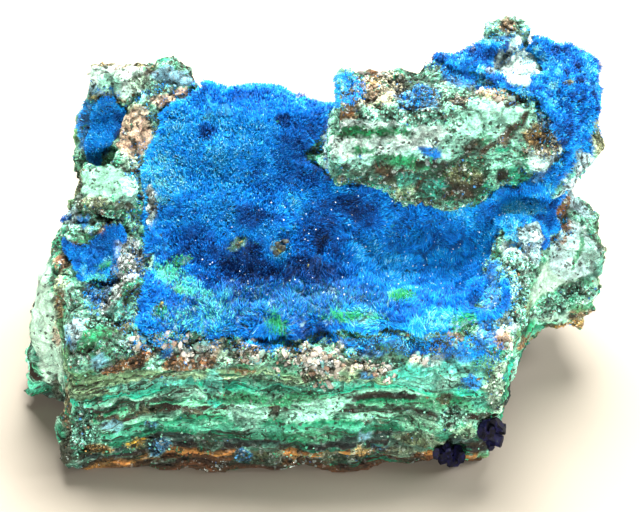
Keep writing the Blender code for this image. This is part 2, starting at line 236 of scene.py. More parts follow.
# The next four tables give places in the camera's view, in its pixels: name, across, down, half width, half
# height, turn in degrees, and then what the place gets. Later rows lie over earlier ones.
# Colours of the rock: colour, cover
ROCK_PATCHES = (
    # general ledge and mound
    ("ledge mint", 395, 140, 75, 24, 0, "mint", 0.95),
    ("ledge crest beige", 378, 88, 32, 26, 35, "beige", 0.95),
    ("ledge crest dark", 352, 96, 10, 20, -35, "brown", 0.85),
    ("ledge right pale", 490, 125, 42, 26, 5, "mint", 0.9),
    ("mound pale face", 517, 68, 28, 36, 0, "pale", 0.95),
    ("mound lower face", 565, 160, 38, 26, 0, "pale", 0.85),
    ("mound ochre grains", 547, 146, 14, 15, 0, "beige", 0.9),
    # ledge details
    ("ledge tan crest", 372, 80, 22, 7, 42, "nut", 0.85),
    ("ledge cream", 388, 96, 14, 10, 30, "cream", 0.8),
    ("ledge dark band", 364, 84, 34, 4.5, 50, "brown", 0.9),
    ("ledge dark band foot", 348, 106, 9, 7, 45, "brown", 0.8),
    ("ledge blue grains", 419, 96, 24, 17, 20, "blue grain", 0.85),
    ("ledge blue grains low", 403, 112, 9, 6, 20, "blue grain", 0.8),
    ("ledge rust spots", 338, 125, 12, 5, 0, "rust", 0.85),
    ("ledge small teal", 358, 125, 9, 4, 0, "teal", 0.8),
    ("ledge small blue", 352, 124, 4, 3, 0, "blue grain", 0.9),
    ("ledge white", 428, 132, 20, 9, 0, "pale", 0.9),
    ("ledge white low", 372, 150, 34, 9, 0, "pale", 0.75),
    ("ledge left white", 345, 146, 18, 14, 0, "pale", 0.9),
    ("ledge green dash blue", 387, 133, 4, 2, 0, "blue grain", 0.9),
    ("ledge green mottle", 364, 150, 11, 7, 10, "green", 0.75),
    ("ledge grey marks", 407, 147, 9, 2.6, 0, "slate", 0.8),
    ("ledge blue lens", 431, 152, 11, 5, -8, "bright blue", 1.0),
    ("ledge green arc", 406, 161, 14, 5, -10, "green", 0.8),
    ("ledge brown wave", 434, 160, 16, 3.6, 8, "dark", 0.85),
    ("ledge brown wave low", 412, 172, 14, 3.4, 35, "brown", 0.85),
    ("ledge rust wave", 384, 172, 12, 4, -25, "rust", 0.8),
    ("ledge teal fan", 339, 165, 11, 9, -15, "teal", 0.9),
    ("ledge dark streak", 349, 163, 9, 3.6, -55, "brown", 0.9),
    ("ledge cream spot", 340, 178, 6, 4.5, 0, "cream", 0.9),
    ("ledge left rim", 326, 140, 4, 34, 0, "ice", 0.9),
    ("ledge brown specks", 451, 128, 4, 5, 20, "brown", 0.85),
    ("ledge pink block", 461, 97, 11, 8, 0, "pinkish", 0.95),
    ("ledge tan nodules", 497, 92, 26, 9, -8, "nut", 0.95),
    ("ledge under mass", 452, 178, 40, 17, 12, "deep green", 0.85),
    ("ledge under brown", 467, 184, 18, 7, 15, "brown", 0.85),
    ("ledge under teal", 435, 190, 9, 7, 0, "teal", 0.9),
    ("ledge under left", 372, 184, 30, 11, -12, "teal", 0.6),
    ("ledge low blue", 352, 190, 12, 8, -20, "bright blue", 0.8),
    ("ledge low olive", 398, 186, 22, 9, -10, "olive", 0.7),
    ("ledge tip brown", 428, 213, 7, 6, 0, "rust", 0.9),
    ("ledge tip tan", 424, 204, 9, 7, 0, "olive", 0.8),
    ("ledge mottle brown", 475, 152, 14, 8, 40, "dark", 0.7),
    ("ledge mottle green", 484, 140, 7, 8, 0, "green", 0.6),
    # mound details
    ("mound brown streak", 502, 137, 46, 4, 44, "brown", 0.92),
    ("mound brown streak 2", 558, 124, 16, 4.5, 62, "brown", 0.9),
    ("mound black spot", 502, 176, 8, 8, 0, "dark", 0.9),
    ("mound pink spot", 527, 153, 6, 5, 0, "pinkish", 0.9),
    ("mound knob", 510, 24, 11, 9, 0, "nut", 0.95),
    ("mound knob back", 535, 34, 20, 7, -8, "mint", 0.7),
    ("mound white oval", 490, 72, 8, 5, 0, "cream", 1.0),
    ("mound tan spot", 569, 82, 7, 4, 0, "nut", 0.85),
    ("mound edge streaks", 597, 140, 8, 34, 0, "olive pale", 0.9),
    ("mound ice streaks", 568, 175, 26, 22, 30, "ice", 0.75),
    ("mound blue fall", 535, 192, 28, 16, 42, "bright blue", 0.85),
    ("mound green specks", 470, 118, 8, 6, 0, "green", 0.5),
    # right rim and chunk
    ("rim granular", 524, 290, 22, 46, 8, "mint grain", 0.95),
    ("rim brown", 515, 292, 5, 6, 0, "brown", 0.9),
    ("rim blue oval", 512, 305, 5, 7, 0, "bright blue", 0.95),
    ("rim lime", 513, 246, 6, 3, 0, "lime", 0.9),
    ("rim green", 498, 254, 6, 5, 0, "green", 0.8),
    ("rim cream", 503, 330, 8, 16, 0, "cream", 0.5),
    ("chunk orange", 562, 214, 14, 6, 28, "rust", 0.9),
    ("chunk olive", 575, 200, 9, 12, 20, "dark", 0.85),
    ("chunk top", 572, 229, 17, 12, 10, "mint grain", 0.9),
    ("chunk top brown", 566, 236, 5, 3, 0, "brown", 0.8),
    ("chunk green", 585, 264, 8, 16, 20, "green", 0.85),
    ("chunk corner", 603, 247, 6, 6, 0, "brown", 0.85),
    ("chunk slab", 560, 290, 44, 36, 25, "jade", 0.97),
    ("chunk lump", 598, 300, 8, 8, 0, "olive", 0.9),
    ("chunk under left", 525, 343, 14, 9, 0, "rust", 0.9),
    ("chunk under mid", 560, 330, 18, 9, 10, "brown", 0.9),
    ("chunk under right", 581, 317, 12, 7, 20, "rust", 0.8),
    # left
    ("ridge back", 110, 78, 28, 20, -8, "olive pale", 0.9),
    ("ridge brown", 95, 70, 9, 8, 0, "brown", 0.7),
    ("ridge brown 2", 126, 84, 10, 6, 0, "rust", 0.6),
    ("ridge blue", 108, 92, 14, 6, 0, "bright blue", 0.7),
    ("ridge thin", 235, 80, 95, 7, -4, "slate", 0.7),
    ("ridge thin tan", 215, 80, 10, 4, 0, "tan", 0.85),
    ("ridge thin tan 2", 272, 88, 12, 4, 0, "tan", 0.85),
    ("ridge thin green", 165, 70, 30, 5, -8, "green", 0.7),
    ("rind tan", 134, 132, 19, 27, -12, "tan", 0.97),
    ("rind tan upper", 174, 98, 25, 10, 8, "tan", 0.97),
    ("rind dark rim", 118, 122, 4, 18, -10, "dark", 0.85),
    ("left pale ledge", 103, 184, 30, 22, 0, "mint smooth", 0.97),
    # painted shadow: this row and the next lay the shade at the overhanging left edge of the pale ledge and
    # under it
    ("left ledge edge", 78, 182, 6, 20, -8, "olive", 0.9),
    ("left ledge under", 100, 206, 30, 7, 0, "brown", 0.7),
    ("left tan strip", 70, 180, 8, 10, 0, "rust", 0.85),
    ("left sky", 60, 200, 6, 10, 0, "sky", 0.8),
    ("left rust", 58, 225, 9, 11, 0, "rust", 0.8),
    ("left rust 2", 75, 248, 11, 8, 0, "rust", 0.9),
    ("left mixed green", 95, 218, 26, 20, 0, "deep green", 0.75),
    ("left mixed yellow", 92, 228, 9, 6, 20, "ochre", 0.7),
    ("left lilac edge", 68, 215, 4, 18, 0, "ice", 0.95),
    ("left blue band", 104, 240, 30, 7, -48, "bright blue", 0.8),
    ("left spur", 124, 262, 15, 30, 35, "grey grain", 0.95),
    ("left slab", 45, 330, 17, 100, 4, "jade", 0.97),
    ("left slab edge", 60, 282, 5, 50, -6, "olive pale", 0.9),
    ("left slab spots", 60, 262, 6, 9, 0, "tan", 0.85),
    ("left slab spots 2", 61, 305, 5, 14, 0, "rust", 0.8),
    ("left slab spots 3", 57, 335, 4, 10, 0, "tan", 0.7),
    ("left slope", 102, 312, 40, 26, -10, "sage", 0.9),
    ("left slope brown", 120, 325, 14, 6, 30, "rust", 0.5),
    ("left lobe", 70, 338, 12, 14, 0, "sky", 0.9),
    ("left lobe streak", 68, 342, 7, 3, 30, "bright blue", 0.8),
    ("left deep green", 82, 358, 24, 13, 10, "deep green", 0.85),
    ("left teal", 99, 364, 11, 10, 0, "turquoise", 0.85),
    ("left dark seam", 57, 390, 5, 30, -6, "brown", 0.8),
    ("left corner foot", 68, 440, 9, 26, -10, "brown", 0.85),
    ("left corner mint", 80, 428, 9, 30, -6, "mint grain", 0.85),
    # front face
    ("front crest grains", 165, 348, 60, 10, 8, "mint grain", 0.7),
    ("front crest pink", 148, 345, 13, 11, 0, "pinkish", 0.9),
    ("front crest blue", 168, 352, 7, 5, 0, "bright blue", 0.8),
    ("front crest lilac", 130, 343, 12, 6, 0, "ice", 0.7),
    ("lens rust left", 128, 363, 30, 8, 22, "rust", 0.95),
    ("lens rust right", 190, 362, 27, 10, 8, "rust", 0.95),
    ("lens rust end", 217, 347, 10, 8, 60, "tan", 0.8),
    ("front turquoise line", 150, 385, 55, 5, 5, "turquoise", 0.7),
    ("front turquoise tall", 214, 382, 10, 22, 12, "turquoise", 0.75),
    ("front turquoise spot", 215, 400, 9, 9, 0, "bright turquoise", 0.95),
    ("front black patch", 96, 402, 9, 3.4, 4, "dark", 0.95),
    ("front dark line upper", 140, 404, 46, 2.2, 10, "dark", 0.95),
    ("front dark line lower", 106, 419, 27, 3, 9, "brown", 0.95),
    ("front dark line end", 146, 410, 18, 4, 10, "brown", 0.85),
    ("front purple brown", 191, 412, 11, 5, 0, "brown", 0.9),
    ("front pale blue", 112, 427, 12, 7, 0, "sky", 0.75),
    ("front blue speck", 151, 426, 7, 5, 0, "blue grain", 0.8),
    ("front mint corner", 90, 436, 12, 11, 10, "mint grain", 0.8),
    ("front mint swell", 248, 415, 20, 17, -10, "mint", 0.75),
    ("front green band", 262, 397, 40, 7, -2, "deep green", 0.55),
    ("front teal band", 300, 402, 36, 8, 10, "green", 0.8),
    ("front mint band", 318, 413, 40, 7, 16, "mint", 0.85),
    ("front green low", 312, 436, 34, 8, 0, "green", 0.7),
    ("front brown block", 273, 412, 4.5, 8, 0, "brown", 0.9),
    ("front rust line", 242, 371, 17, 2.6, 0, "rust", 0.85),
    ("front grey upper", 262, 380, 26, 7, 0, "sage", 0.7),
    ("front upper brown", 290, 384, 14, 5, 0, "olive", 0.6),
    ("front streak brown 1", 362, 407, 19, 4.5, 0, "dark", 0.92),
    ("front streak brown 2", 400, 409, 17, 5, 2, "dark", 0.92),
    ("front streak brown 3", 371, 422, 14, 2.6, -5, "brown", 0.85),
    ("front sky spot", 365, 438, 8, 5, 0, "sky", 0.85),
    ("front navy spot", 379, 450, 11, 5, 0, "navy", 0.9),
    ("front dark teal", 408, 446, 20, 11, 0, "dark", 0.75),
    ("front olive right", 425, 425, 30, 10, -10, "olive", 0.5),
    ("lip turquoise", 440, 376, 50, 16, 0, "turquoise", 0.75),
    ("lip turquoise pale", 450, 384, 14, 7, 20, "mint", 0.7),
    ("lip blue patch", 472, 382, 10, 10, -20, "bright blue", 0.95),
    ("lip mint column", 499, 388, 13, 36, 4, "cream mint", 0.95),
    ("lip green", 478, 403, 10, 9, 0, "teal", 0.8),
    ("right mint edge", 516, 376, 5, 32, 0, "mint", 0.9),
    ("right foot green", 490, 459, 14, 7, 0, "green", 0.8),
    ("right dark lump", 513, 413, 6, 10, 10, "slate", 0.95),
    ("right brown", 486, 420, 8, 6, 0, "brown", 0.7),
    ("right pale veins", 462, 430, 16, 12, -40, "olive pale", 0.7),
    # bottom zone
    ("bottom gold left", 98, 451, 15, 5, 0, "ochre", 0.95),
    ("bottom gold spot", 137, 444, 12, 7, 0, "gold", 0.95),
    ("bottom blue", 160, 446, 13, 9, 25, "blue grain", 0.9),
    ("bottom dark left", 130, 464, 62, 6, 0, "dark", 0.9),
    ("bottom dark", 208, 440, 16, 9, -20, "dark", 0.85),
    ("bottom dark 2", 265, 455, 17, 13, 0, "dark", 0.85),
    ("bottom blue 2", 244, 456, 9, 8, 0, "blue grain", 0.95),
    ("bottom gold 2", 222, 467, 14, 4.5, 0, "ochre", 0.9),
    ("bottom gold 3", 267, 475, 12, 3, 0, "ochre", 0.85),
    ("bottom gold 4", 300, 464, 22, 9, 5, "ochre", 0.8),
    ("bottom brown streak", 335, 458, 40, 5, 5, "brown", 0.8),
    ("bottom gold 5", 362, 452, 12, 6, -20, "ochre", 0.8),
    ("bottom gold 6", 420, 463, 26, 3.5, 3, "ochre", 0.7),
    ("bottom brown rim", 200, 473, 120, 3.5, 0, "brown", 0.8),
    # lip nodules
    ("nodule 1", 252, 354, 15, 12, 0, "pinkish", 0.97),
    ("nodule 2", 302, 348, 12, 14, 0, "pinkish", 0.97),
    ("nodule 2 pink", 318, 352, 7, 6, 0, "pink", 0.9),
    ("nodule 3", 330, 362, 13, 11, 0, "pinkish", 0.95),
    ("nodule 4", 340, 348, 5, 9, -20, "cream", 0.9),
    ("nodule low", 318, 374, 20, 8, 0, "beige", 0.8),
    ("nodule dark", 318, 385, 9, 5, 0, "brown", 0.8),
    ("nodule 5", 368, 366, 15, 10, -15, "pinkish", 0.95),
    ("nodule 6", 387, 373, 9, 9, 0, "pinkish", 0.95),
    ("nodule 7", 421, 361, 12, 6, 0, "cream", 0.95),
    ("lip base blue", 385, 346, 46, 9, 0, "bright blue", 0.85),
    ("lip base blue right", 462, 352, 30, 11, 0, "bright blue", 0.8),
    ("nodule 8", 455, 336, 7, 13, 10, "cream", 0.95),
    ("nodule 9 dark", 440, 346, 12, 8, 20, "dark", 0.9),
    ("nodule 9 white", 437, 348, 4, 3, 0, "cream", 0.9),
    ("nodule 10", 504, 340, 10, 9, 0, "tan", 0.97),
    ("nodule between", 280, 366, 14, 6, 0, "sage", 0.7),
    ("ridge pale", 118, 80, 34, 18, 0, "pale", 0.9),
    ("ridge mint spot", 110, 84, 11, 9, 0, "mint", 0.9),
    ("ridge brown a", 100, 63, 11, 5, 0, "olive", 0.9),
    ("ridge brown b", 122, 67, 8, 4, 0, "rust", 0.8),
    ("ridge brown c", 150, 72, 8, 6, 0, "brown", 0.9),
    ("ridge sky", 174, 76, 22, 10, -8, "sky", 0.9),
    ("ridge blue streak", 94, 90, 8, 6, 30, "sky", 0.8),
    ("ridge green", 140, 82, 10, 8, 0, "cream mint", 0.9),
    ("ridge edge olive", 106, 99, 22, 3, -3, "ochre", 0.7),
    ("recess rim", 121, 122, 5, 22, 10, "sky", 0.9),
    ("recess knob", 88, 141, 5, 8, 0, "mint", 0.9),
    ("below rind", 134, 156, 11, 15, -30, "cream mint", 0.9),
    ("below rind brown", 139, 168, 10, 5, 55, "brown", 0.95),
    ("right of left ledge", 133, 188, 13, 20, 0, "mint", 0.9),
    ("right of left ledge dark", 130, 209, 6, 5, 0, "brown", 0.8),
    # painted shadow: dark at the overhanging left end of the pale ledge
    ("left ledge brown", 77, 200, 10, 7, 0, "dark", 0.85),
    ("left ledge olive", 94, 202, 14, 6, 0, "olive pale", 0.8),
    ("left mixed dark", 98, 213, 14, 6, 0, "deep green", 0.9),
    ("left mixed bright", 96, 222, 22, 9, 15, "mint grain", 0.85),
    ("left mixed blue", 84, 222, 7, 8, 0, "bright blue", 0.9),
    ("left mixed mint", 110, 223, 15, 8, 0, "mint grain", 0.9),
    ("left mixed rust", 104, 229, 9, 5, 20, "rust", 0.85),
    ("left mixed pale edge", 73, 220, 4, 16, 0, "ice", 0.9),
    ("left mixed green foot", 85, 238, 10, 4, 20, "green", 0.9),
    ("left rust a", 78, 252, 8, 12, 0, "rust", 0.9),
    ("left rust b", 62, 262, 8, 10, 0, "rust", 0.8),
    ("left spur upper", 126, 255, 18, 24, 25, "grey grain", 0.95),
    ("left spur lower", 112, 292, 9, 26, -25, "grey grain", 0.9),
    ("left spur teal", 118, 310, 14, 10, 0, "turquoise", 0.7),
    ("left spur dark", 128, 296, 5, 10, -20, "deep green", 0.9),
    ("left slope mint", 100, 322, 26, 8, 12, "mint grain", 0.85),
    ("left slope green", 96, 336, 24, 9, 25, "green", 0.8),
    ("left slope ice", 74, 330, 9, 12, 0, "ice", 0.9),
    ("left slope foot", 82, 366, 16, 8, 0, "sage", 0.8),
    ("left slope foot sky", 98, 362, 7, 10, -20, "sky", 0.8),
    ("lip grain row 1", 140, 342, 12, 10, 0, "pinkish", 0.8),
    ("lip grain row 2", 178, 338, 22, 10, 0, "deep green", 0.7),
    ("lip grain row 3", 192, 350, 22, 8, -8, "grey grain", 0.8),
    ("lip grain blue", 168, 353, 7, 5, 0, "bright blue", 0.9),
    ("lip grain green", 232, 322, 14, 8, 0, "green", 0.85),
    ("lip grain row 4", 243, 350, 13, 14, 0, "pinkish", 0.85),
    ("lip grain mint", 226, 356, 10, 8, 0, "cream mint", 0.8),
    ("lip grain row 5", 300, 352, 22, 12, 0, "beige", 0.8),
    ("lip grain row 6", 322, 366, 22, 10, 0, "grey grain", 0.85),
    ("lip grain row 7", 350, 366, 12, 8, 0, "cream", 0.8),
    ("lip grain blue 2", 366, 378, 12, 5, 0, "bright blue", 0.75),
    ("lip grain row 8", 378, 366, 14, 7, 0, "beige", 0.8),
    ("lip teal", 410, 372, 24, 10, 8, "bright turquoise", 0.7),
    ("lip white", 432, 360, 14, 6, 0, "pale", 0.85),
    ("lip white 2", 452, 366, 12, 7, 0, "turquoise", 0.9),
    ("lip right mint", 498, 390, 10, 34, 4, "cream mint", 0.9),
    ("mid front mint", 195, 396, 40, 5, 3, "mint", 0.6),
    ("mid front green", 240, 398, 32, 6, 0, "green", 0.75),
    ("mid front white 1", 262, 412, 22, 4, -6, "mint", 0.85),
    ("mid front white 2", 320, 404, 34, 4, 10, "mint", 0.85),
    ("mid front brown", 274, 412, 5, 10, 10, "brown", 0.85),
    ("mid front green 2", 330, 386, 40, 6, 8, "teal", 0.75),
    ("right front green", 440, 402, 24, 10, 0, "green", 0.75),
    ("right front mint", 452, 420, 16, 14, 20, "mint grain", 0.8),
    ("right front brown", 444, 400, 8, 5, 0, "brown", 0.8),
    ("right front olive", 420, 440, 30, 8, -10, "olive", 0.7),
    ("right front white", 362, 418, 18, 3, -8, "mint", 0.85),
    ("mound crest edge", 503, 42, 20, 8, 0, "bright blue", 0.8),
    ("mound between blue", 460, 72, 20, 18, 0, "bright blue", 0.85),
    ("mound between brown", 444, 84, 3, 8, 10, "brown", 0.9),
    ("mound tan row", 497, 92, 24, 10, 0, "nut", 0.95),
    ("mound tan row dark", 505, 99, 16, 4, -20, "brown", 0.85),
    ("ledge crest brown", 383, 64, 14, 8, 0, "brown", 0.95),
    ("ledge crest tan 2", 366, 88, 22, 12, 45, "nut", 0.9),
    ("ledge crest brown 2", 352, 104, 7, 16, -30, "brown", 0.85),
    ("ledge crest ochre", 376, 76, 20, 8, 40, "ochre", 0.6),
    ("ledge crest line", 374, 98, 26, 2.4, 42, "dark", 0.8),
    ("ledge foot dark a", 352, 172, 12, 4, -20, "dark", 0.85),
    ("ledge foot dark b", 396, 176, 14, 4, 15, "dark", 0.85),
    ("ledge foot dark c", 446, 170, 5, 12, 20, "dark", 0.85),
    ("ledge foot dark d", 424, 186, 10, 4, 0, "brown", 0.85),
    ("ledge side dark", 470, 150, 4, 14, -30, "brown", 0.85),
    ("chunk top pale", 573, 230, 18, 12, 10, "pale", 0.95),
    ("chunk top sky", 566, 226, 9, 6, 10, "ice", 0.9),
    ("ledge brown spots", 343, 118, 14, 6, 0, "rust", 0.85),
    ("ledge top mint", 404, 118, 46, 10, 0, "mint grain", 0.85),
    ("ledge white band", 384, 143, 60, 7, 0, "pale", 1.0),
    ("ledge dash", 370, 133, 44, 3.6, 0, "green", 1.0),
    ("ledge white over", 362, 126, 40, 4, 0, "pale", 0.9),
    ("ledge mottle 2", 362, 151, 9, 5, 0, "green", 0.85),
    ("ledge foot white", 352, 163, 24, 5, -8, "mint", 0.9),
    ("ledge green band", 402, 162, 34, 6, -8, "green", 0.85),
    ("ledge lens 2", 430, 150, 11, 4, -8, "bright blue", 0.95),
    ("ledge dark wave 2", 436, 162, 16, 5, 0, "dark", 0.9),
    ("ledge right mint", 488, 120, 30, 16, 5, "mint", 0.9),
    ("ledge under dark 1", 380, 178, 26, 8, -12, "dark", 0.75),
    ("ledge under dark 2", 462, 176, 22, 10, 0, "olive", 0.85),
    ("ledge under dark 3", 470, 190, 20, 8, 0, "dark", 0.85),
    ("ledge under mint", 410, 180, 14, 7, 0, "teal", 0.8),
    ("ledge under teal 2", 436, 190, 11, 10, 0, "bright turquoise", 0.6),
    ("ledge black spot", 501, 173, 7, 7, 0, "dark", 0.95),
    ("mound streak a", 515, 130, 5, 26, -35, "brown", 0.9),
    ("mound streak b", 552, 125, 4, 16, -20, "brown", 0.9),
    ("mound grains a", 535, 135, 16, 14, 0, "ochre", 0.85),
    ("mound grains b", 545, 120, 10, 8, 0, "blue grain", 0.8),
    ("mound low pale", 575, 190, 14, 30, 30, "ice", 0.85),
    ("mound low brown", 562, 205, 14, 7, 35, "rust", 0.9),
    ("mound low dark", 552, 222, 12, 6, 40, "dark", 0.85),
    ("mound low ice", 545, 236, 16, 10, 30, "ice", 0.85),
    ("rim ice", 535, 250, 12, 14, 20, "ice", 0.8),
    ("rim wall base", 491, 285, 12, 40, -5, "bright blue", 0.9),
    ("rim top pale", 516, 262, 14, 32, 20, "pale", 0.95),
    ("rim top ice", 514, 300, 10, 34, 0, "ice", 0.9),
    ("rim crest", 520, 300, 3, 40, -8, "pale", 0.95),
    ("left bite base", 150, 205, 8, 26, 0, "grey grain", 0.9),
    ("chunk facet", 562, 250, 12, 26, -12, "sky", 0.7),
    ("chunk facet line", 573, 246, 3, 26, -14, "green", 0.8),
    ("chunk right", 590, 262, 16, 22, 0, "turquoise", 0.6),
    ("chunk foot green", 560, 296, 40, 10, 20, "green", 0.75),
    ("chunk ochre rim", 560, 330, 40, 6, 18, "ochre", 0.9),
    ("left foot dark", 66, 455, 12, 14, 0, "dark", 0.9),
    ("left seam brown", 66, 400, 8, 30, -10, "rust", 0.8),
    ("recess base", 98, 130, 16, 30, 0, "bright blue", 0.8),
    ("recess base side", 88, 120, 8, 22, 0, "bright blue", 0.8),
    ("flank base", 104, 262, 13, 30, -28, "bright blue", 0.8),
    ("flank base low", 98, 288, 14, 16, 0, "blue grain", 0.8),
    ("flank base green", 104, 262, 12, 7, 40, "deep green", 0.9),
    ("mound base", 480, 66, 30, 18, 0, "bright blue", 0.7),
    ("mound pale face 2", 519, 68, 26, 32, 0, "pale", 0.95),
    ("mound ice edge", 588, 168, 14, 30, 30, "ice", 0.95),
    ("mound ice edge streak", 582, 176, 3, 26, 30, "teal", 0.8),
    ("mound ice fall", 562, 196, 26, 10, 50, "ice", 0.95),
    ("mound olive edge", 601, 138, 6, 30, 0, "olive", 0.9),
    ("mound pale face low", 505, 98, 14, 6, -30, "brown", 0.7),
    ("rim wall base low", 486, 335, 10, 18, -10, "bright blue", 0.8),
    # painted shade: this row and the next three darken the gaps along the lip
    ("lip dark gap 1", 205, 345, 8, 4, 0, "dark", 0.8),
    ("lip dark gap 2", 282, 360, 5, 7, 0, "dark", 0.7),
    ("lip dark gap 3", 430, 345, 12, 7, 20, "dark", 0.9),
    ("lip dark gap 4", 340, 378, 12, 4, 0, "olive", 0.8),
    ("nodule crest", 378, 70, 19, 8, 30, "brown", 0.7),
    ("nodule mound", 497, 92, 24, 8, -8, "nut", 0.9),
    ("ledge bottom dark", 442, 200, 46, 9, 0, "deep green", 0.6),
    ("ledge bottom left", 362, 185, 30, 6, -18, "deep green", 0.75),
    ("ledge bottom brown", 458, 196, 17, 5, 8, "brown", 0.85),
    ("ledge bottom teal", 432, 192, 12, 9, 0, "teal", 0.9),
    ("ledge bottom teal left", 385, 190, 14, 6, -20, "teal", 0.7),
    ("ledge bottom olive", 404, 196, 10, 5, -10, "olive", 0.8),
    ("ledge foot wave", 430, 164, 24, 3, 6, "dark", 0.9),
    ("ledge foot wave left", 388, 170, 18, 3, -14, "brown", 0.9),
    ("rim crest bare", 532, 234, 20, 14, 30, "ice", 0.9),
    ("rim granular mint", 518, 285, 20, 44, 6, "mint grain", 0.85),
    ("mound band ice", 572, 182, 36, 12, 50, "ice", 0.95),
    ("mound band line", 564, 184, 30, 2.4, 50, "teal", 0.8),
    ("mound band line 2", 577, 178, 26, 1.8, 50, "brown", 0.6),
    ("chunk top face", 574, 254, 27, 30, 10, "lilac", 0.9),
    ("chunk facet side", 592, 260, 8, 18, 10, "sage", 0.6),
    ("chunk facet edge", 580, 248, 2.6, 24, -14, "green", 0.85),
    ("chunk top dark", 560, 222, 15, 6, 45, "dark", 0.85),
    ("chunk top rust", 566, 228, 9, 3, 40, "rust", 0.9),
    ("chunk top streak a", 551, 241, 13, 2.6, 40, "brown", 0.9),
    ("chunk top streak b", 566, 238, 10, 2.2, 45, "rust", 0.9),
    ("chunk low mottle", 562, 302, 40, 14, 20, "mint grain", 0.75),
    ("chunk low green", 584, 308, 14, 5, 20, "green", 0.7),
    ("recess edge", 80, 130, 7, 34, 0, "bright blue", 0.85),
    ("recess edge knob", 86, 140, 4, 8, 0, "mint", 0.95),
    ("ridge top line", 120, 62, 40, 3, -3, "ochre", 0.7),
    ("rind face", 134, 132, 17, 26, -12, "tan", 0.97),
    ("rind arc", 172, 98, 25, 8, 6, "tan", 0.97),
    ("rind outline", 119, 124, 2.6, 22, -14, "dark", 0.9),
    ("rind arc gap", 150, 100, 4, 6, 20, "dark", 0.9),
    ("rind crack", 131, 138, 10, 1.8, -40, "brown", 0.9),
    ("rind crack low", 136, 148, 8, 1.6, -50, "brown", 0.8),
    ("ledge crest point", 380, 70, 14, 9, 20, "rust", 0.8),
)
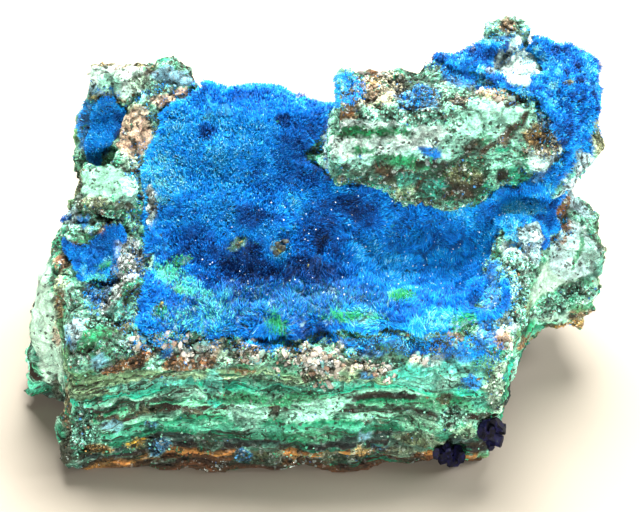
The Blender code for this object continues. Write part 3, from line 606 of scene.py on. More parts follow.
# Tones of the needles: place on the scale of TONES, cover
VELVET_TONES = (
    ("upper left pale", 190, 150, 70, 55, 0, 0.60, 0.85),
    ("top middle", 250, 120, 50, 32, 0, 0.50, 0.8),
    ("upper left rim pale", 160, 175, 26, 30, 0, 0.66, 0.7),
    ("middle light", 225, 215, 40, 45, 0, 0.55, 0.7),
    ("left low mottled", 165, 300, 26, 50, 0, 0.44, 0.8),
    ("lower left light", 225, 320, 70, 30, 0, 0.34, 0.8),
    ("lower middle light", 300, 320, 60, 24, 0, 0.26, 0.7),
    ("lower fringe pale", 385, 335, 50, 15, 0, 0.52, 0.75),
    ("right fan pale", 440, 318, 24, 14, 10, 0.66, 0.9),
    ("left middle deep", 200, 245, 26, 22, 0, 0.2, 0.8),
    ("centre deep", 250, 255, 36, 20, 0, 0.14, 0.7),
    ("centre light oval", 262, 230, 16, 12, 0, 0.55, 0.6),
    ("upper right deep", 300, 150, 24, 40, 0, 0.24, 0.8),
    ("dark pit top", 285, 118, 9, 9, 0, 0.02, 0.8),
    ("navy under ledge", 365, 212, 26, 13, -30, 0.12, 0.8),
    ("navy left of it", 320, 225, 20, 24, 0, 0.16, 0.8),
    # painted light: in the hollow under the ledge's tip the tones of this row, the next three and 'right low
    # deep' are raised to make up for the shade there
    ("right of tip deep", 450, 255, 62, 34, 0, 0.44, 0.9),
    ("deep oval", 468, 265, 18, 13, 0, 0.26, 0.8),
    ("under tip", 415, 235, 34, 13, 0, 0.42, 0.8),
    ("middle blue", 370, 245, 22, 14, 0, 0.48, 0.7),
    ("right middle light", 400, 268, 16, 20, 0, 0.68, 0.8),
    ("right low deep", 450, 290, 30, 12, 20, 0.34, 0.7),
    ("mid light row", 350, 285, 45, 12, 0, 0.42, 0.6),
    ("fan tuft right", 456, 218, 22, 20, 0, 0.56, 0.9),
    ("right wall pale", 506, 242, 14, 6, 20, 0.72, 0.8),
    ("right wall dark", 492, 238, 10, 14, 0, 0.40, 0.7),
    ("green spot 1", 176, 262, 16, 7, 20, 0.88, 0.7),
    ("green spot 2", 182, 290, 8, 5, 0, 0.90, 0.8),
    ("green spot 3", 215, 296, 7, 5, 0, 0.90, 0.7),
    ("olive spot", 238, 244, 11, 7, 30, 0.945, 0.85),
    ("green spot 4", 276, 328, 17, 12, 0, 0.90, 0.9),
    ("green spot 5", 355, 318, 32, 12, -8, 0.89, 0.9),
    ("green pale 5", 360, 310, 22, 7, -5, 0.82, 0.85),
    ("green spot 6", 402, 292, 17, 9, -10, 0.92, 0.9),
    ("green spot 7", 386, 350, 16, 9, 0, 0.90, 0.85),
    ("green spot 8", 462, 326, 14, 17, 0, 0.89, 0.9),
    ("dark hollow left", 160, 310, 9, 8, 0, 0.95, 0.8),
    ("lime spot 1", 165, 272, 14, 10, 0, 0.83, 0.75),
    ("lime spot 2", 184, 290, 11, 6, 0, 0.86, 0.7),
    ("lime spot 3", 215, 297, 12, 7, 0, 0.84, 0.8),
    ("centre dark row", 300, 270, 40, 10, 8, 0.10, 0.7),
    # painted light: this row and the next two are raised likewise, for the shade under the ledge's tip
    ("right deep row", 420, 225, 50, 14, 0, 0.40, 0.6),
    ("royal oval", 462, 245, 22, 18, -10, 0.36, 0.7),
    ("royal low", 452, 290, 26, 12, 25, 0.34, 0.7),
    ("light fibres low", 340, 300, 50, 10, 0, 0.36, 0.5),
    ("dark shade a", 345, 205, 22, 10, -10, 0.12, 0.7),
    ("dark shade b", 250, 215, 16, 12, 0, 0.14, 0.7),
    ("flank dark a", 96, 232, 9, 5, 20, 0.94, 0.9),
    ("flank dark b", 106, 262, 12, 6, 40, 0.94, 0.9),
    ("flank teal", 98, 280, 12, 8, 0, 0.83, 0.6),
    ("flank pale edge", 84, 262, 4, 18, 0, 0.68, 0.8),
    ("recess pale", 110, 140, 6, 18, 10, 0.6, 0.7),
    ("recess deep", 100, 120, 8, 14, 0, 0.24, 0.7),
    ("mound deep a", 560, 115, 14, 10, 0, 0.2, 0.7),
    ("mound deep b", 500, 70, 12, 8, 0, 0.22, 0.7),
    ("mound light", 560, 60, 22, 10, 0, 0.50, 0.7),
    ("mound streak pale", 580, 150, 10, 34, 20, 0.74, 0.6),
    ("mound wisps", 545, 90, 40, 30, 0, 0.66, 0.35),
    ("mound wisps low", 575, 120, 12, 20, 0, 0.16, 0.5),
    # painted light: a paler tone in the hollow between the mound's foot and the rim, to make up for its shade
    ("rim hollow pale", 525, 209, 30, 8, 0, 0.72, 0.9),
    ("rim fall light", 510, 225, 16, 12, 20, 0.6, 0.8),
    ("rim wall light", 490, 300, 8, 26, 0, 0.6, 0.7),
    ("rim wall deep", 494, 275, 6, 16, -10, 0.22, 0.8),
    ("lower shade", 290, 286, 95, 28, 0, 0.10, 0.75),
    ("lower shade left", 215, 312, 50, 12, 0, 0.22, 0.6),
    # painted light: raised likewise, for the shade under the ledge's tip
    ("lower shade right", 400, 270, 40, 10, 0, 0.34, 0.5),
    ("lower fringe", 385, 330, 36, 12, 0, 0.5, 0.7),
    ("lower tuft", 405, 275, 16, 14, 0, 0.58, 0.6),
    ("black pit a", 322, 238, 8, 14, 0, 0.05, 0.7),
    ("black pit b", 305, 263, 16, 10, 0, 0.08, 0.7),
    ("black pit c", 358, 212, 22, 8, -15, 0.14, 0.7),
    ("black pit d", 208, 128, 9, 7, 0, 0.04, 0.7),
    ("teal patch", 300, 300, 110, 24, 0, 0.795, 0.36),
    ("mint band", 188, 284, 46, 11, -32, 0.82, 0.6),
    ("teal patch left", 205, 318, 50, 20, 0, 0.795, 0.42),
    ("mint patch left", 195, 318, 44, 16, 0, 0.82, 0.22),
    ("light patch right", 400, 250, 60, 14, 0, 0.50, 0.3),
    ("inclusion halo", 277, 249, 16, 14, 0, 0.6, 0.7),
    ("inclusion", 277, 248, 6, 6, 0, 0.99, 0.95),
    ("dark patch low", 305, 262, 12, 9, 0, 0.03, 0.7),
    ("dark patch mid", 210, 130, 8, 5, 0, 0.10, 0.5),
    ("light haze", 448, 252, 14, 6, 0, 0.54, 0.5),
    ("mound blue right", 575, 130, 16, 40, 0, 0.34, 0.8),
    ("mound top pale", 540, 60, 40, 20, 0, 0.50, 0.6),
    ("mound top blue", 470, 70, 30, 18, 0, 0.42, 0.8),
    ("ledge left blue", 346, 88, 20, 22, 0, 0.48, 0.9),
    ("recess blue", 98, 132, 18, 30, 0, 0.44, 0.9),
    ("flank blue", 100, 240, 28, 24, 0, 0.38, 0.8),
)
# Short fibres on bare rock
FUR_SPOTS = (
    ("ledge corner", 346, 88, 20, 22, 0),
    ("ledge back ball", 432, 60, 11, 8, 0),
    ("ledge back ball left", 403, 61, 9, 5, 0),
    ("ledge grains", 419, 96, 20, 14, 20),
    ("ledge low", 358, 190, 20, 10, -15),
    ("ledge lens", 431, 152, 10, 4, -8),
    ("mound fall", 535, 190, 26, 16, 42),
    ("rim oval", 512, 305, 4, 6, 0),
    ("lip blue", 472, 382, 9, 9, -20),
    ("ridge blue", 108, 92, 13, 5, 0),
    ("left slope edge", 146, 290, 8, 50, 0),
    ("lip fringe right", 445, 347, 48, 11, 0),
    ("mound step", 466, 76, 38, 9, -36),
    ("lip fringe mid right", 385, 344, 46, 9, 0),
    ("lip fringe left", 160, 338, 26, 8, 10),
    ("lip fringe mid", 270, 346, 12, 10, 0),
    ("lip fringe gap left", 264, 340, 24, 6, 0),
    ("lip fringe gap right", 322, 337, 20, 8, -10),
    ("lip right blue", 490, 352, 14, 14, 20),
    ("lip green blue", 472, 345, 9, 10, 0),
    ("ledge left blue wall", 340, 92, 16, 18, 0),
    ("mound between", 458, 70, 22, 18, 0),
    ("mound crest", 500, 44, 22, 10, 0),
    ("mound right face", 572, 120, 26, 26, 0),
    ("mound right fall", 552, 185, 22, 16, 42),
    ("rim right fall", 520, 230, 14, 24, 25),
    ("rind edge blue", 150, 92, 24, 6, 20),
    ("recess side", 92, 150, 10, 12, 0),
    ("recess top", 100, 108, 18, 8, 0),
    ("left mixed blue", 84, 222, 6, 7, 0),
    ("recess edge", 80, 130, 7, 32, 0),
    ("left lobe low", 102, 268, 20, 22, 0),
    ("left lobe foot", 92, 300, 10, 16, 0),
    ("lip blue a", 168, 353, 7, 5, 0),
    ("lip blue b", 213, 338, 9, 9, 0),
    ("lip blue c", 262, 340, 8, 12, 0),
    ("lip blue d", 346, 350, 9, 10, 0),
    ("lip blue e", 402, 346, 12, 10, 0),
    ("lip corner blue", 484, 362, 10, 14, 0),
    ("rim wall", 491, 285, 12, 40, -5),
    ("rim wall low", 488, 330, 9, 16, -10),
)
DENSE_FUR = ("lip fringe", "mound step", "ledge corner")  # in rows named so, fibres stand closer and longer
# Where the rock's own face shows through a crust
BARE_SPOTS = (
    ("mound pale face", 519, 77, 15, 20, 0),
    ("mound white oval", 490, 70, 7, 5, 0),
    ("mound tan spot", 569, 82, 6, 3, 0),
    ("mound edge", 598, 142, 7, 30, 0),
    ("mound face streaks", 536, 138, 16, 14, 0),
    ("mound edge low", 588, 168, 9, 24, 30),
    ("mound band", 574, 180, 34, 9, 50),
    ("rim crest", 532, 234, 20, 14, 30),
    ("flank upper left", 78, 226, 22, 18, 0),
    ("flank upper", 100, 217, 22, 9, -10),
    ("flank lower right", 125, 262, 10, 24, 20),
    ("flank nodule", 97, 232, 8, 5, 20),
    ("left bite 1", 150, 205, 6, 22, 0),
    ("left bite 2", 148, 262, 7, 12, 0),
)
# Tones of the needles: place on the scale from 0 to 1, then the tip's colour.
TONES = (
    (0.0, 2, 26, 54),
    (0.12, 1, 56, 122),
    (0.28, 2, 97, 184),
    (0.44, 2, 138, 232),
    (0.58, 8, 172, 246),
    (0.70, 66, 202, 244),
    (0.78, 190, 244, 252),
    (0.785, 4, 96, 122),
    (0.80, 8, 120, 140),
    (0.82, 100, 226, 200),
    (0.86, 104, 204, 130),
    (0.89, 36, 166, 104),
    (0.93, 22, 140, 74),
    (0.97, 110, 116, 40),
    (1.0, 34, 28, 20),
)
BLUE_TO = 0.78  # the last of the blue tones
GREEN_FROM = 0.785  # tones from here up are greens and browns, which stay apart from the blues
CORE_SHADE = 0.7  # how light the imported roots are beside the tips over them
ROOT_SHADE = 0.86  # how light a needle's root is beside its tip
SPARKLE_FIELD = ((6.0, -4.0, 23.5), 24.0, 9.0, 0)  # middle, half width, half height, turn
# Dark crystals in the velvet: middle, size, how many
INCLUSIONS = (
    ((-5.2, -4.5, 24.4), 1.35, 12),
    ((-10.6, -4.7, 25.3), 0.7, 6),
    ((-1.2, -7.0, 22.9), 0.5, 4),
    ((-20.8, -15.7, 22.6), 0.8, 7),
    ((12.6, -12.6, 22.8), 0.5, 4),
)
# Their colours, and how many have each
INCLUSION_TINTS = ((44, 36, 22), (24, 22, 18), (120, 116, 50), (60, 84, 40))
INCLUSION_SHARES = (0.35, 0.5, 0.08, 0.07)

SKY_COLOUR = (1.0, 0.88, 0.72, 1)
SKY_STRENGTH = 0.25
FLOOR_HALF = 1.5  # in metres
FLOOR_COLOURS = ((0.288, 0.254, 0.204, 1), (0.303, 0.269, 0.219, 1))
WARM = (1.0, 0.99, 0.97)
COOL = (0.98, 0.99, 1.0)
LIGHTS_AIM = (0, 0, 20)
# The broad lights: name, place, how wide, watts, colour
LIGHTS = (
    ("top_light", (20, 220, 370), 340, 10.1, WARM),
    ("right_light", (420, 20, 240), 240, 3.4, COOL),
    ("front_light", (-60, -430, 46), 84, 4.0, WARM),
)
# The small light from above the camera into the hollow under the ledge
HOLLOW_LIGHT_PLACE = (25, -310, 275)
HOLLOW_LIGHT_AIM = (18.3, -1.2, 21.3)
HOLLOW_LIGHT_CONE = 6.0
HOLLOW_LIGHT_SIZE = 12
HOLLOW_LIGHT_WATTS = 7.0

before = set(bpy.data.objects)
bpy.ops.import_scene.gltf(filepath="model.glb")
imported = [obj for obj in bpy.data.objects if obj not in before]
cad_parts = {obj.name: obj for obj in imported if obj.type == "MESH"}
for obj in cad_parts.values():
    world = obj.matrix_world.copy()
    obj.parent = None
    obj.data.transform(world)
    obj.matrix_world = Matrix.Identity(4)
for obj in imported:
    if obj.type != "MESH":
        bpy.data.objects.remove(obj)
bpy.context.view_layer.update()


# ---------------------------------------------------------------- small maths
def smooth(low, high, value):
    t = np.clip((value - low) / (high - low), 0.0, 1.0)
    return t * t * (3 - 2 * t)


def to_linear(*srgb):
    return tuple(((c / 255 + 0.055) / 1.055) ** 2.4 if c > 10 else c / 255 / 12.92 for c in srgb)


def noise_at(points, size, seed):
    """One number from about -1 to 1 for each point."""
    shift = Vector((seed * 17.3, seed * 5.1, seed * 9.7))
    return np.array([noise.noise(Vector(p) / size + shift) for p in points.tolist()])


def wandered(points, seed=0):
    """The points pushed about by noise, which frays whatever is drawn at them."""
    out = points.copy()
    for n, (size, reach) in enumerate(WANDER):
        shift = Vector((seed + n * 31.7, seed * 2.0, n * 11.3))
        push = [noise.noise_vector(Vector(p) / size + shift) for p in points.tolist()]
        out += reach * np.array([tuple(v) for v in push])
    return out


def patch_cover(points, middle, half_width, half_height, turn, fade=CRISP):
    """From 0 outside a patch to 1 inside it."""
    offset = points - np.array(middle)
    across = offset[:, 0]
    up = offset[:, 1] * math.sin(LEAN) + offset[:, 2] * math.cos(LEAN)
    deep = offset[:, 1] * math.cos(LEAN) - offset[:, 2] * math.sin(LEAN)
    angle = math.radians(turn)
    along = across * math.cos(angle) + up * math.sin(angle)
    over = up * math.cos(angle) - across * math.sin(angle)
    depth = 0.45 * (half_width + half_height) + 2.0
    far = np.sqrt((along / half_width) ** 2 + (over / half_height) ** 2 + (deep / depth) ** 2)
    return 1 - smooth(*fade, far)


# ---------------------------------------------------------------- meshes
def in_scene(name, mesh):
    thing = bpy.data.objects.new(name, mesh)
    bpy.context.scene.collection.objects.link(thing)
    return thing


def merged_copy(node, name):
    """A new object of the node's shape, with its loose triangles joined."""
    work = bmesh.new()
    work.from_mesh(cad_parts[node].data)
    bmesh.ops.remove_doubles(work, verts=work.verts, dist=0.000001)
    mesh = bpy.data.meshes.new(name)
    work.to_mesh(mesh)
    work.free()
    return in_scene(name, mesh)


def remesh(thing, voxel):
    """Even faces all over the object, in place of its own."""
    change = thing.modifiers.new("even", "REMESH")
    change.mode = "VOXEL"
    change.voxel_size = voxel * MM
    old = thing.data
    done = thing.evaluated_get(bpy.context.evaluated_depsgraph_get())
    thing.data = bpy.data.meshes.new_from_object(done)
    thing.modifiers.clear()
    bpy.data.meshes.remove(old)
    thing.data.name = thing.name


def places(mesh):
    co = np.empty(len(mesh.vertices) * 3, np.float32)
    mesh.vertices.foreach_get("co", co)
    return co.reshape(-1, 3).astype(float) / MM


def facings(mesh):
    n = np.empty(len(mesh.vertices) * 3, np.float32)
    mesh.vertex_normals.foreach_get("vector", n)
    return n.reshape(-1, 3).astype(float)


def put_places(mesh, points):
    mesh.vertices.foreach_set("co", (points * MM).astype(np.float32).ravel())
    mesh.update()


def add_colours(mesh, name, rgb):
    layer = mesh.attributes.new(name, "FLOAT_COLOR", "POINT")
    rgba = np.ones((len(rgb), 4), np.float32)
    rgba[:, : rgb.shape[1]] = rgb
    layer.data.foreach_set("color", rgba.ravel())


def triangles(mesh):
    mesh.calc_loop_triangles()
    corners = np.empty(len(mesh.loop_triangles) * 3, np.int32)
    mesh.loop_triangles.foreach_get("vertices", corners)
    return corners.reshape(-1, 3)


def faces_tree(mesh):
    return BVHTree.FromPolygons(places(mesh).tolist(), triangles(mesh).tolist())


def points_tree(points):
    tree = KDTree(len(points))
    for n, p in enumerate(points.tolist()):
        tree.insert(p, n)
    tree.balance()
    return tree


def spread_over(mesh, weights, count, rng):
    """Points strewn over a mesh, more where the weights are high: places, facings and nearest corners."""
    corners = triangles(mesh)
    at, n = places(mesh), facings(mesh)
    a, b, c = (at[corners[:, k]] for k in range(3))
    chance = np.linalg.norm(np.cross(b - a, c - a), axis=1) * weights[corners].mean(axis=1)
    pick = rng.choice(len(corners), count, p=chance / chance.sum())
    u, v = rng.random((2, count, 1))
    flip = u + v > 1
    u, v = np.where(flip, 1 - u, u), np.where(flip, 1 - v, v)
    corners = corners[pick]
    point = a[pick] * (1 - u - v) + b[pick] * u + c[pick] * v
    facing = n[corners[:, 0]] * (1 - u - v) + n[corners[:, 1]] * u + n[corners[:, 2]] * v
    facing /= np.linalg.norm(facing, axis=1, keepdims=True) + 1e-9
    return point, facing, corners[:, 0]


def joined(name, shape, spots, axes):
    """Copies of one small shape as one mesh. Each has a place and three axes that carry its size."""
    corners, faces = shape
    at = spots[:, None, :] + np.einsum("vk,nkc->nvc", corners, axes)
    count, each = len(spots), len(corners)
    index = faces[None, :, :] + (np.arange(count) * each)[:, None, None]
    mesh = bpy.data.meshes.new(name)
    mesh.vertices.add(count * each)
    mesh.vertices.foreach_set("co", (at * MM).astype(np.float32).ravel())
    mesh.loops.add(index.size)
    mesh.loops.foreach_set("vertex_index", index.astype(np.int32).ravel())
    mesh.polygons.add(count * len(faces))
    mesh.polygons.foreach_set("loop_start", np.arange(0, index.size, 3, dtype=np.int32))
    mesh.update(calc_edges=True)
    return in_scene(name, mesh)


def tinted_copies(name, shape, spots, axes, tints, material):
    """Copies of one small shape, each with a colour of its own."""
    thing = joined(name, shape, spots, axes)
    add_colours(thing.data, "tint", np.clip(np.repeat(tints, len(shape[0]), axis=0), 0, 1))
    thing.data.materials.append(material)
    return thing


def shape_of(work):
    """A small bmesh as arrays of its corners and its triangles."""
    bmesh.ops.triangulate(work, faces=work.faces)
    bmesh.ops.recalc_face_normals(work, faces=work.faces)
    work.verts.index_update()
    corners = np.array([tuple(v.co) for v in work.verts])
    faces = np.array([[v.index for v in f.verts] for f in work.faces])
    work.free()
    return corners, faces


def needle_shape():
    """A three-sided needle from 0 to 1 along Z, widest near its tip."""
    work = bmesh.new()
    bmesh.ops.create_uvsphere(work, u_segments=3, v_segments=2, radius=0.5)
    for v in work.verts:
        v.co.z = 0.78 if abs(v.co.z) < 0.1 else 0.5 + v.co.z
    return shape_of(work)


def grain_shape():
    """A double pyramid, the plainest crystal."""
    work = bmesh.new()
    bmesh.ops.create_uvsphere(work, u_segments=4, v_segments=2, radius=0.5)
    return shape_of(work)


def random_axes(count, rng):
    q = rng.normal(size=(count, 4))
    q /= np.linalg.norm(q, axis=1, keepdims=True)
    w, x, y, z = q.T
    return np.stack(
        (
            np.stack((1 - 2 * (y * y + z * z), 2 * (x * y + z * w), 2 * (x * z - y * w)), axis=1),
            np.stack((2 * (x * y - z * w), 1 - 2 * (x * x + z * z), 2 * (y * z + x * w)), axis=1),
            np.stack((2 * (x * z + y * w), 2 * (y * z - x * w), 1 - 2 * (x * x + y * y)), axis=1),
        ),
        axis=1,
    )


def mostly_small(sizes, count, rng):
    least, more, power = sizes
    return least + more * rng.random(count) ** power


def uneven_axes(size, low, high, rng):
    """Axes turned every way, each from low to high times the size."""
    axes = random_axes(len(size), rng)
    return axes * (size[:, None] * rng.uniform(low, high, (len(size), 3)))[:, :, None]


# ---------------------------------------------------------------- places in the view
# The camera's own right, up and back
RIGHT = Vector((1, 0, 0))
UP = Vector((0, math.sin(LEAN), math.cos(LEAN)))
BACKWARDS = Vector((0, -math.cos(LEAN), math.sin(LEAN)))
EYE = Vector(VIEW_TARGET) + BACKWARDS * VIEW_DISTANCE


def solid_tree(names):
    """The CAD nodes as one tree for rays, in millimetres."""
    corners, faces = [], []
    for name in names:
        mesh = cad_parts[name].data
        first = len(corners)
        corners += places(mesh).tolist()
        faces += [[first + n for n in face.vertices] for face in mesh.polygons]
    return BVHTree.FromPolygons(corners, faces)


def seen_spot(tree, across, down):
    """Where the ray through a spot of the view, or just beside it, meets the tree, and a pixel's size."""
    pixels = LENS / SENSOR * VIEW[0]

    def ray(u, v):
        return RIGHT * ((u - VIEW[0] / 2) / pixels) + UP * ((VIEW[1] / 2 - v) / pixels) - BACKWARDS

    for reach in NEARBY:
        for du, dv in BESIDE:
            hit = tree.ray_cast(EYE, ray(across + du * reach, down + dv * reach).normalized())[0]
            if hit is not None:
                depth = (hit - EYE).dot(-BACKWARDS)
                return EYE + ray(across, down) * depth, depth / pixels
    raise ValueError("no part of the specimen is near this spot of the view")


def placed(rows, tree):
    """The rows of a table with their places and sizes turned into millimetres on the specimen."""
    out = []
    for name, across, down, half_width, half_height, *rest in rows:
        middle, pixel = seen_spot(tree, across, down)
        out.append((name, middle, half_width * pixel, half_height * pixel, *rest))
    return out


# ---------------------------------------------------------------- materials
def new_material(name):
    material = bpy.data.materials.new(name)
    material.use_nodes = True
    tree = material.node_tree
    return material, tree, tree.nodes["Principled BSDF"]


def feed(tree, socket, value):
    if isinstance(value, bpy.types.NodeSocket):
        tree.links.new(value, socket)
    else:
        socket.default_value = value


def calc(tree, operation, a, b=0.0):
    node = tree.nodes.new("ShaderNodeMath")
    node.operation = operation
    feed(tree, node.inputs[0], a)
    feed(tree, node.inputs[1], b)
    return node.outputs[0]


def times(tree, a, b):
    return calc(tree, "MULTIPLY", a, b)


def plus(tree, a, b):
    return calc(tree, "ADD", a, b)


def minus(tree, a, b):
    return calc(tree, "SUBTRACT", a, b)


def ranged(tree, value, low, high, start, end):
    node = tree.nodes.new("ShaderNodeMapRange")
    for socket, number in zip(node.inputs, (value, low, high, start, end)):
        feed(tree, socket, number)
    return node.outputs[0]


def mixed(tree, factor, a, b, how="MIX"):
    node = tree.nodes.new("ShaderNodeMix")
    node.data_type = "RGBA"
    node.blend_type = how
    feed(tree, node.inputs[0], factor)
    feed(tree, node.inputs[6], a)
    feed(tree, node.inputs[7], b)
    return node.outputs[2]


def position(tree):
    return tree.nodes.new("ShaderNodeTexCoord").outputs["Object"]


def noise_node(tree, where, size, detail=3.0, rough=0.6, warp=0.0):
    """Noise whose lumps are about size millimetres across."""
    node = tree.nodes.new("ShaderNodeTexNoise")
    tree.links.new(where, node.inputs["Vector"])
    node.inputs["Scale"].default_value = 1 / (size * MM)
    node.inputs["Detail"].default_value = detail
    node.inputs["Roughness"].default_value = rough
    node.inputs["Distortion"].default_value = warp
    return node.outputs["Fac"]


def cells(tree, where, size):
    node = tree.nodes.new("ShaderNodeTexVoronoi")
    tree.links.new(where, node.inputs["Vector"])
    node.inputs["Scale"].default_value = 1 / (size * MM)
    return node


def ramp(tree, value, stops):
    node = tree.nodes.new("ShaderNodeValToRGB")
    feed(tree, node.inputs[0], value)
    elements = node.color_ramp.elements
    elements.remove(elements[1])
    for n, (where, *rgb) in enumerate(stops):
        element = elements[0] if n == 0 else elements.new(where)
        element.position = where
        element.color = (*to_linear(*rgb), 1)
    return node.outputs[0]


def attribute(tree, name, output="Color"):
    node = tree.nodes.new("ShaderNodeAttribute")
    node.attribute_name = name
    return node.outputs[output]


def split(tree, colour):
    node = tree.nodes.new("ShaderNodeSeparateColor")
    tree.links.new(colour, node.inputs[0])
    return node.outputs


def add_bump(tree, shader, height, depth, strength=1.0):
    node = tree.nodes.new("ShaderNodeBump")
    node.inputs["Strength"].default_value = strength
    node.inputs["Distance"].default_value = depth * MM
    tree.links.new(height, node.inputs["Height"])
    tree.links.new(node.outputs[0], shader.inputs["Normal"])


def along_beds(tree, where, bed):
    """Places in which the beds lie flat and are drawn out sideways."""
    flat = tree.nodes.new("ShaderNodeSeparateXYZ")
    tree.links.new(where, flat.inputs[0])
    drawn = tree.nodes.new("ShaderNodeCombineXYZ")
    tree.links.new(times(tree, flat.outputs[0], BED_DRAW), drawn.inputs[0])
    tree.links.new(times(tree, flat.outputs[1], BED_DRAW), drawn.inputs[1])
    tree.links.new(times(tree, bed, BED_SPAN * MM), drawn.inputs[2])
    return drawn.outputs[0]


def painted(tree, base, share, rgb):
    """The colour with another laid over a share of it."""
    return mixed(tree, share, base, (*to_linear(*rgb), 1))


def shaded(tree, base, share, lift):
    """The colour multiplied by a number, as far as the share says."""
    grey = tree.nodes.new("ShaderNodeCombineColor")
    for n in range(3):
        tree.links.new(lift, grey.inputs[n])
    return mixed(tree, share, base, mixed(tree, 1.0, base, grey.outputs[0], "MULTIPLY"))


def rock_material():
    """The tint of each spot, broken up by crystals, specks and stains, and the beds where they show, with
    painted shade in hollows and cracks and painted light on rises.
    """
    material, tree, shader = new_material("rock")
    where = position(tree)
    beds_show, specks, grit = split(tree, attribute(tree, "marks"))[:3]
    layers = attribute(tree, "marks", "Alpha")
    bed, crack, relief = split(tree, attribute(tree, "beds"))[:3]
    loose = minus(tree, 1.0, times(tree, layers, 0.55))
    loose_specks = times(tree, specks, loose)
    rough = plus(tree, times(tree, grit, 0.65), 0.35)
    fine = noise_node(tree, where, 0.35, 4.0, 0.75)
    coarse = noise_node(tree, where, 1.5, 6.0, 0.75, 0.4)
    crystal = cells(tree, where, 0.55)

    ripple = noise_node(tree, where, 1.4, 5.0, 0.7)
    height = plus(tree, bed, ranged(tree, ripple, 0.3, 0.7, -0.009, 0.009))
    beds = ramp(tree, height, [(min(1.0, z / BED_SPAN), r, g, b) for z, r, g, b in BEDS])
    base = mixed(tree, beds_show, attribute(tree, "tint"), beds)
    clump = mixed(tree, ranged(tree, coarse, 0.475, 0.515, 0.0, 1.0), CLUMP_DARK, CLUMP_PALE)
    base = mixed(tree, times(tree, rough, loose), base, mixed(tree, 1.0, base, clump, "MULTIPLY"))
    cover = ranged(tree, loose_specks, 0.0, 1.0, -0.10, 0.035)
    for size, start, end, rgb in FLECKS:
        spots = plus(tree, noise_node(tree, where, size, 5.0, 0.75, 0.4), cover)
        base = painted(tree, base, ranged(tree, spots, start, end, 0.0, 1.0), rgb)

    drawn = along_beds(tree, where, bed)
    for size, dark, pale, rgb in THIN_LAYERS:
        streaks = noise_node(tree, drawn, size, 4.0, 0.65, 0.15)
        dark_share = times(tree, ranged(tree, streaks, dark, dark + 0.02, 0.0, 0.9), layers)
        base = painted(tree, base, dark_share, rgb)
        lighter = mixed(tree, 1.0, base, (*PALE_LAYER, 1), "MULTIPLY")
        pale_share = times(tree, ranged(tree, streaks, pale, pale - 0.02, 0.0, 0.9), layers)
        base = mixed(tree, pale_share, base, lighter)

    chips = split(tree, cells(tree, where, 0.40).outputs["Color"])
    gather = ranged(tree, noise_node(tree, where, 2.6, 2.0), 0.35, 0.65, 0.16, -0.16)
    gap = minus(tree, plus(tree, chips[0], gather), times(tree, loose_specks, 0.24))
    base = painted(tree, base, ranged(tree, gap, 0.02, 0.05, 0.85, 0.0), CHIP_GAPS)
    glints = times(tree, ranged(tree, chips[1], 0.90, 0.93, 0.0, 0.8), times(tree, grit, loose))
    base = painted(tree, base, glints, GLINTS)
    thread = calc(tree, "ABSOLUTE", minus(tree, noise_node(tree, where, 1.1, 3.0, 0.65, 0.5), 0.5))
    thread = ranged(tree, thread, 0.006, 0.028, 0.9, 0.0)
    veined = ranged(tree, loose_specks, 0.0, 0.6, 0.0, 1.0)
    base = painted(tree, base, times(tree, thread, veined), VEINS)

    spark = split(tree, crystal.outputs["Color"])[0]
    lift = ranged(tree, fine, 0.43, 0.57, 0.58, 1.7)
    base = shaded(tree, base, rough, times(tree, lift, ranged(tree, spark, 0.0, 1.0, 0.76, 1.26)))
    # painted shade and light: darker where the relief sinks into hollows, lighter where it rises
    base = shaded(tree, base, 1.0, ranged(tree, relief, 0.35, 0.9, 0.56, 1.4))
    # painted shade: the cracks are darkened
    base = painted(tree, base, times(tree, crack, 0.9), CRACK_SHADE)
    tree.links.new(base, shader.inputs["Base Color"])
    tree.links.new(ranged(tree, fine, 0.3, 0.7, 0.5, 0.9), shader.inputs["Roughness"])
    shader.inputs["Specular IOR Level"].default_value = 0.3
    lumps = plus(tree, times(tree, coarse, 1.6), fine)
    dents = times(tree, times(tree, crystal.outputs["Distance"], grit), 1.3)
    add_bump(tree, shader, minus(tree, lumps, dents), 0.95, 1.0)
    return material


def grain_material():
    material, tree, shader = new_material("grains")
    where = position(tree)
    patchy = noise_node(tree, where, 0.8, 4.0)
    worn = painted(tree, attribute(tree, "tint"), ranged(tree, patchy, 0.35, 0.65, 0.0, 0.25), GRAIN_WORN)
    dirt = ranged(tree, noise_node(tree, where, 0.5, 5.0, 0.75), 0.54, 0.58, 0.0, 0.75)
    worn = painted(tree, worn, dirt, GRAIN_DIRT)
    tree.links.new(worn, shader.inputs["Base Color"])
    tree.links.new(ranged(tree, patchy, 0.3, 0.7, 0.45, 0.8), shader.inputs["Roughness"])
    shader.inputs["Specular IOR Level"].default_value = 0.3
    add_bump(tree, shader, noise_node(tree, where, 0.15), 0.05, 0.5)
    return material


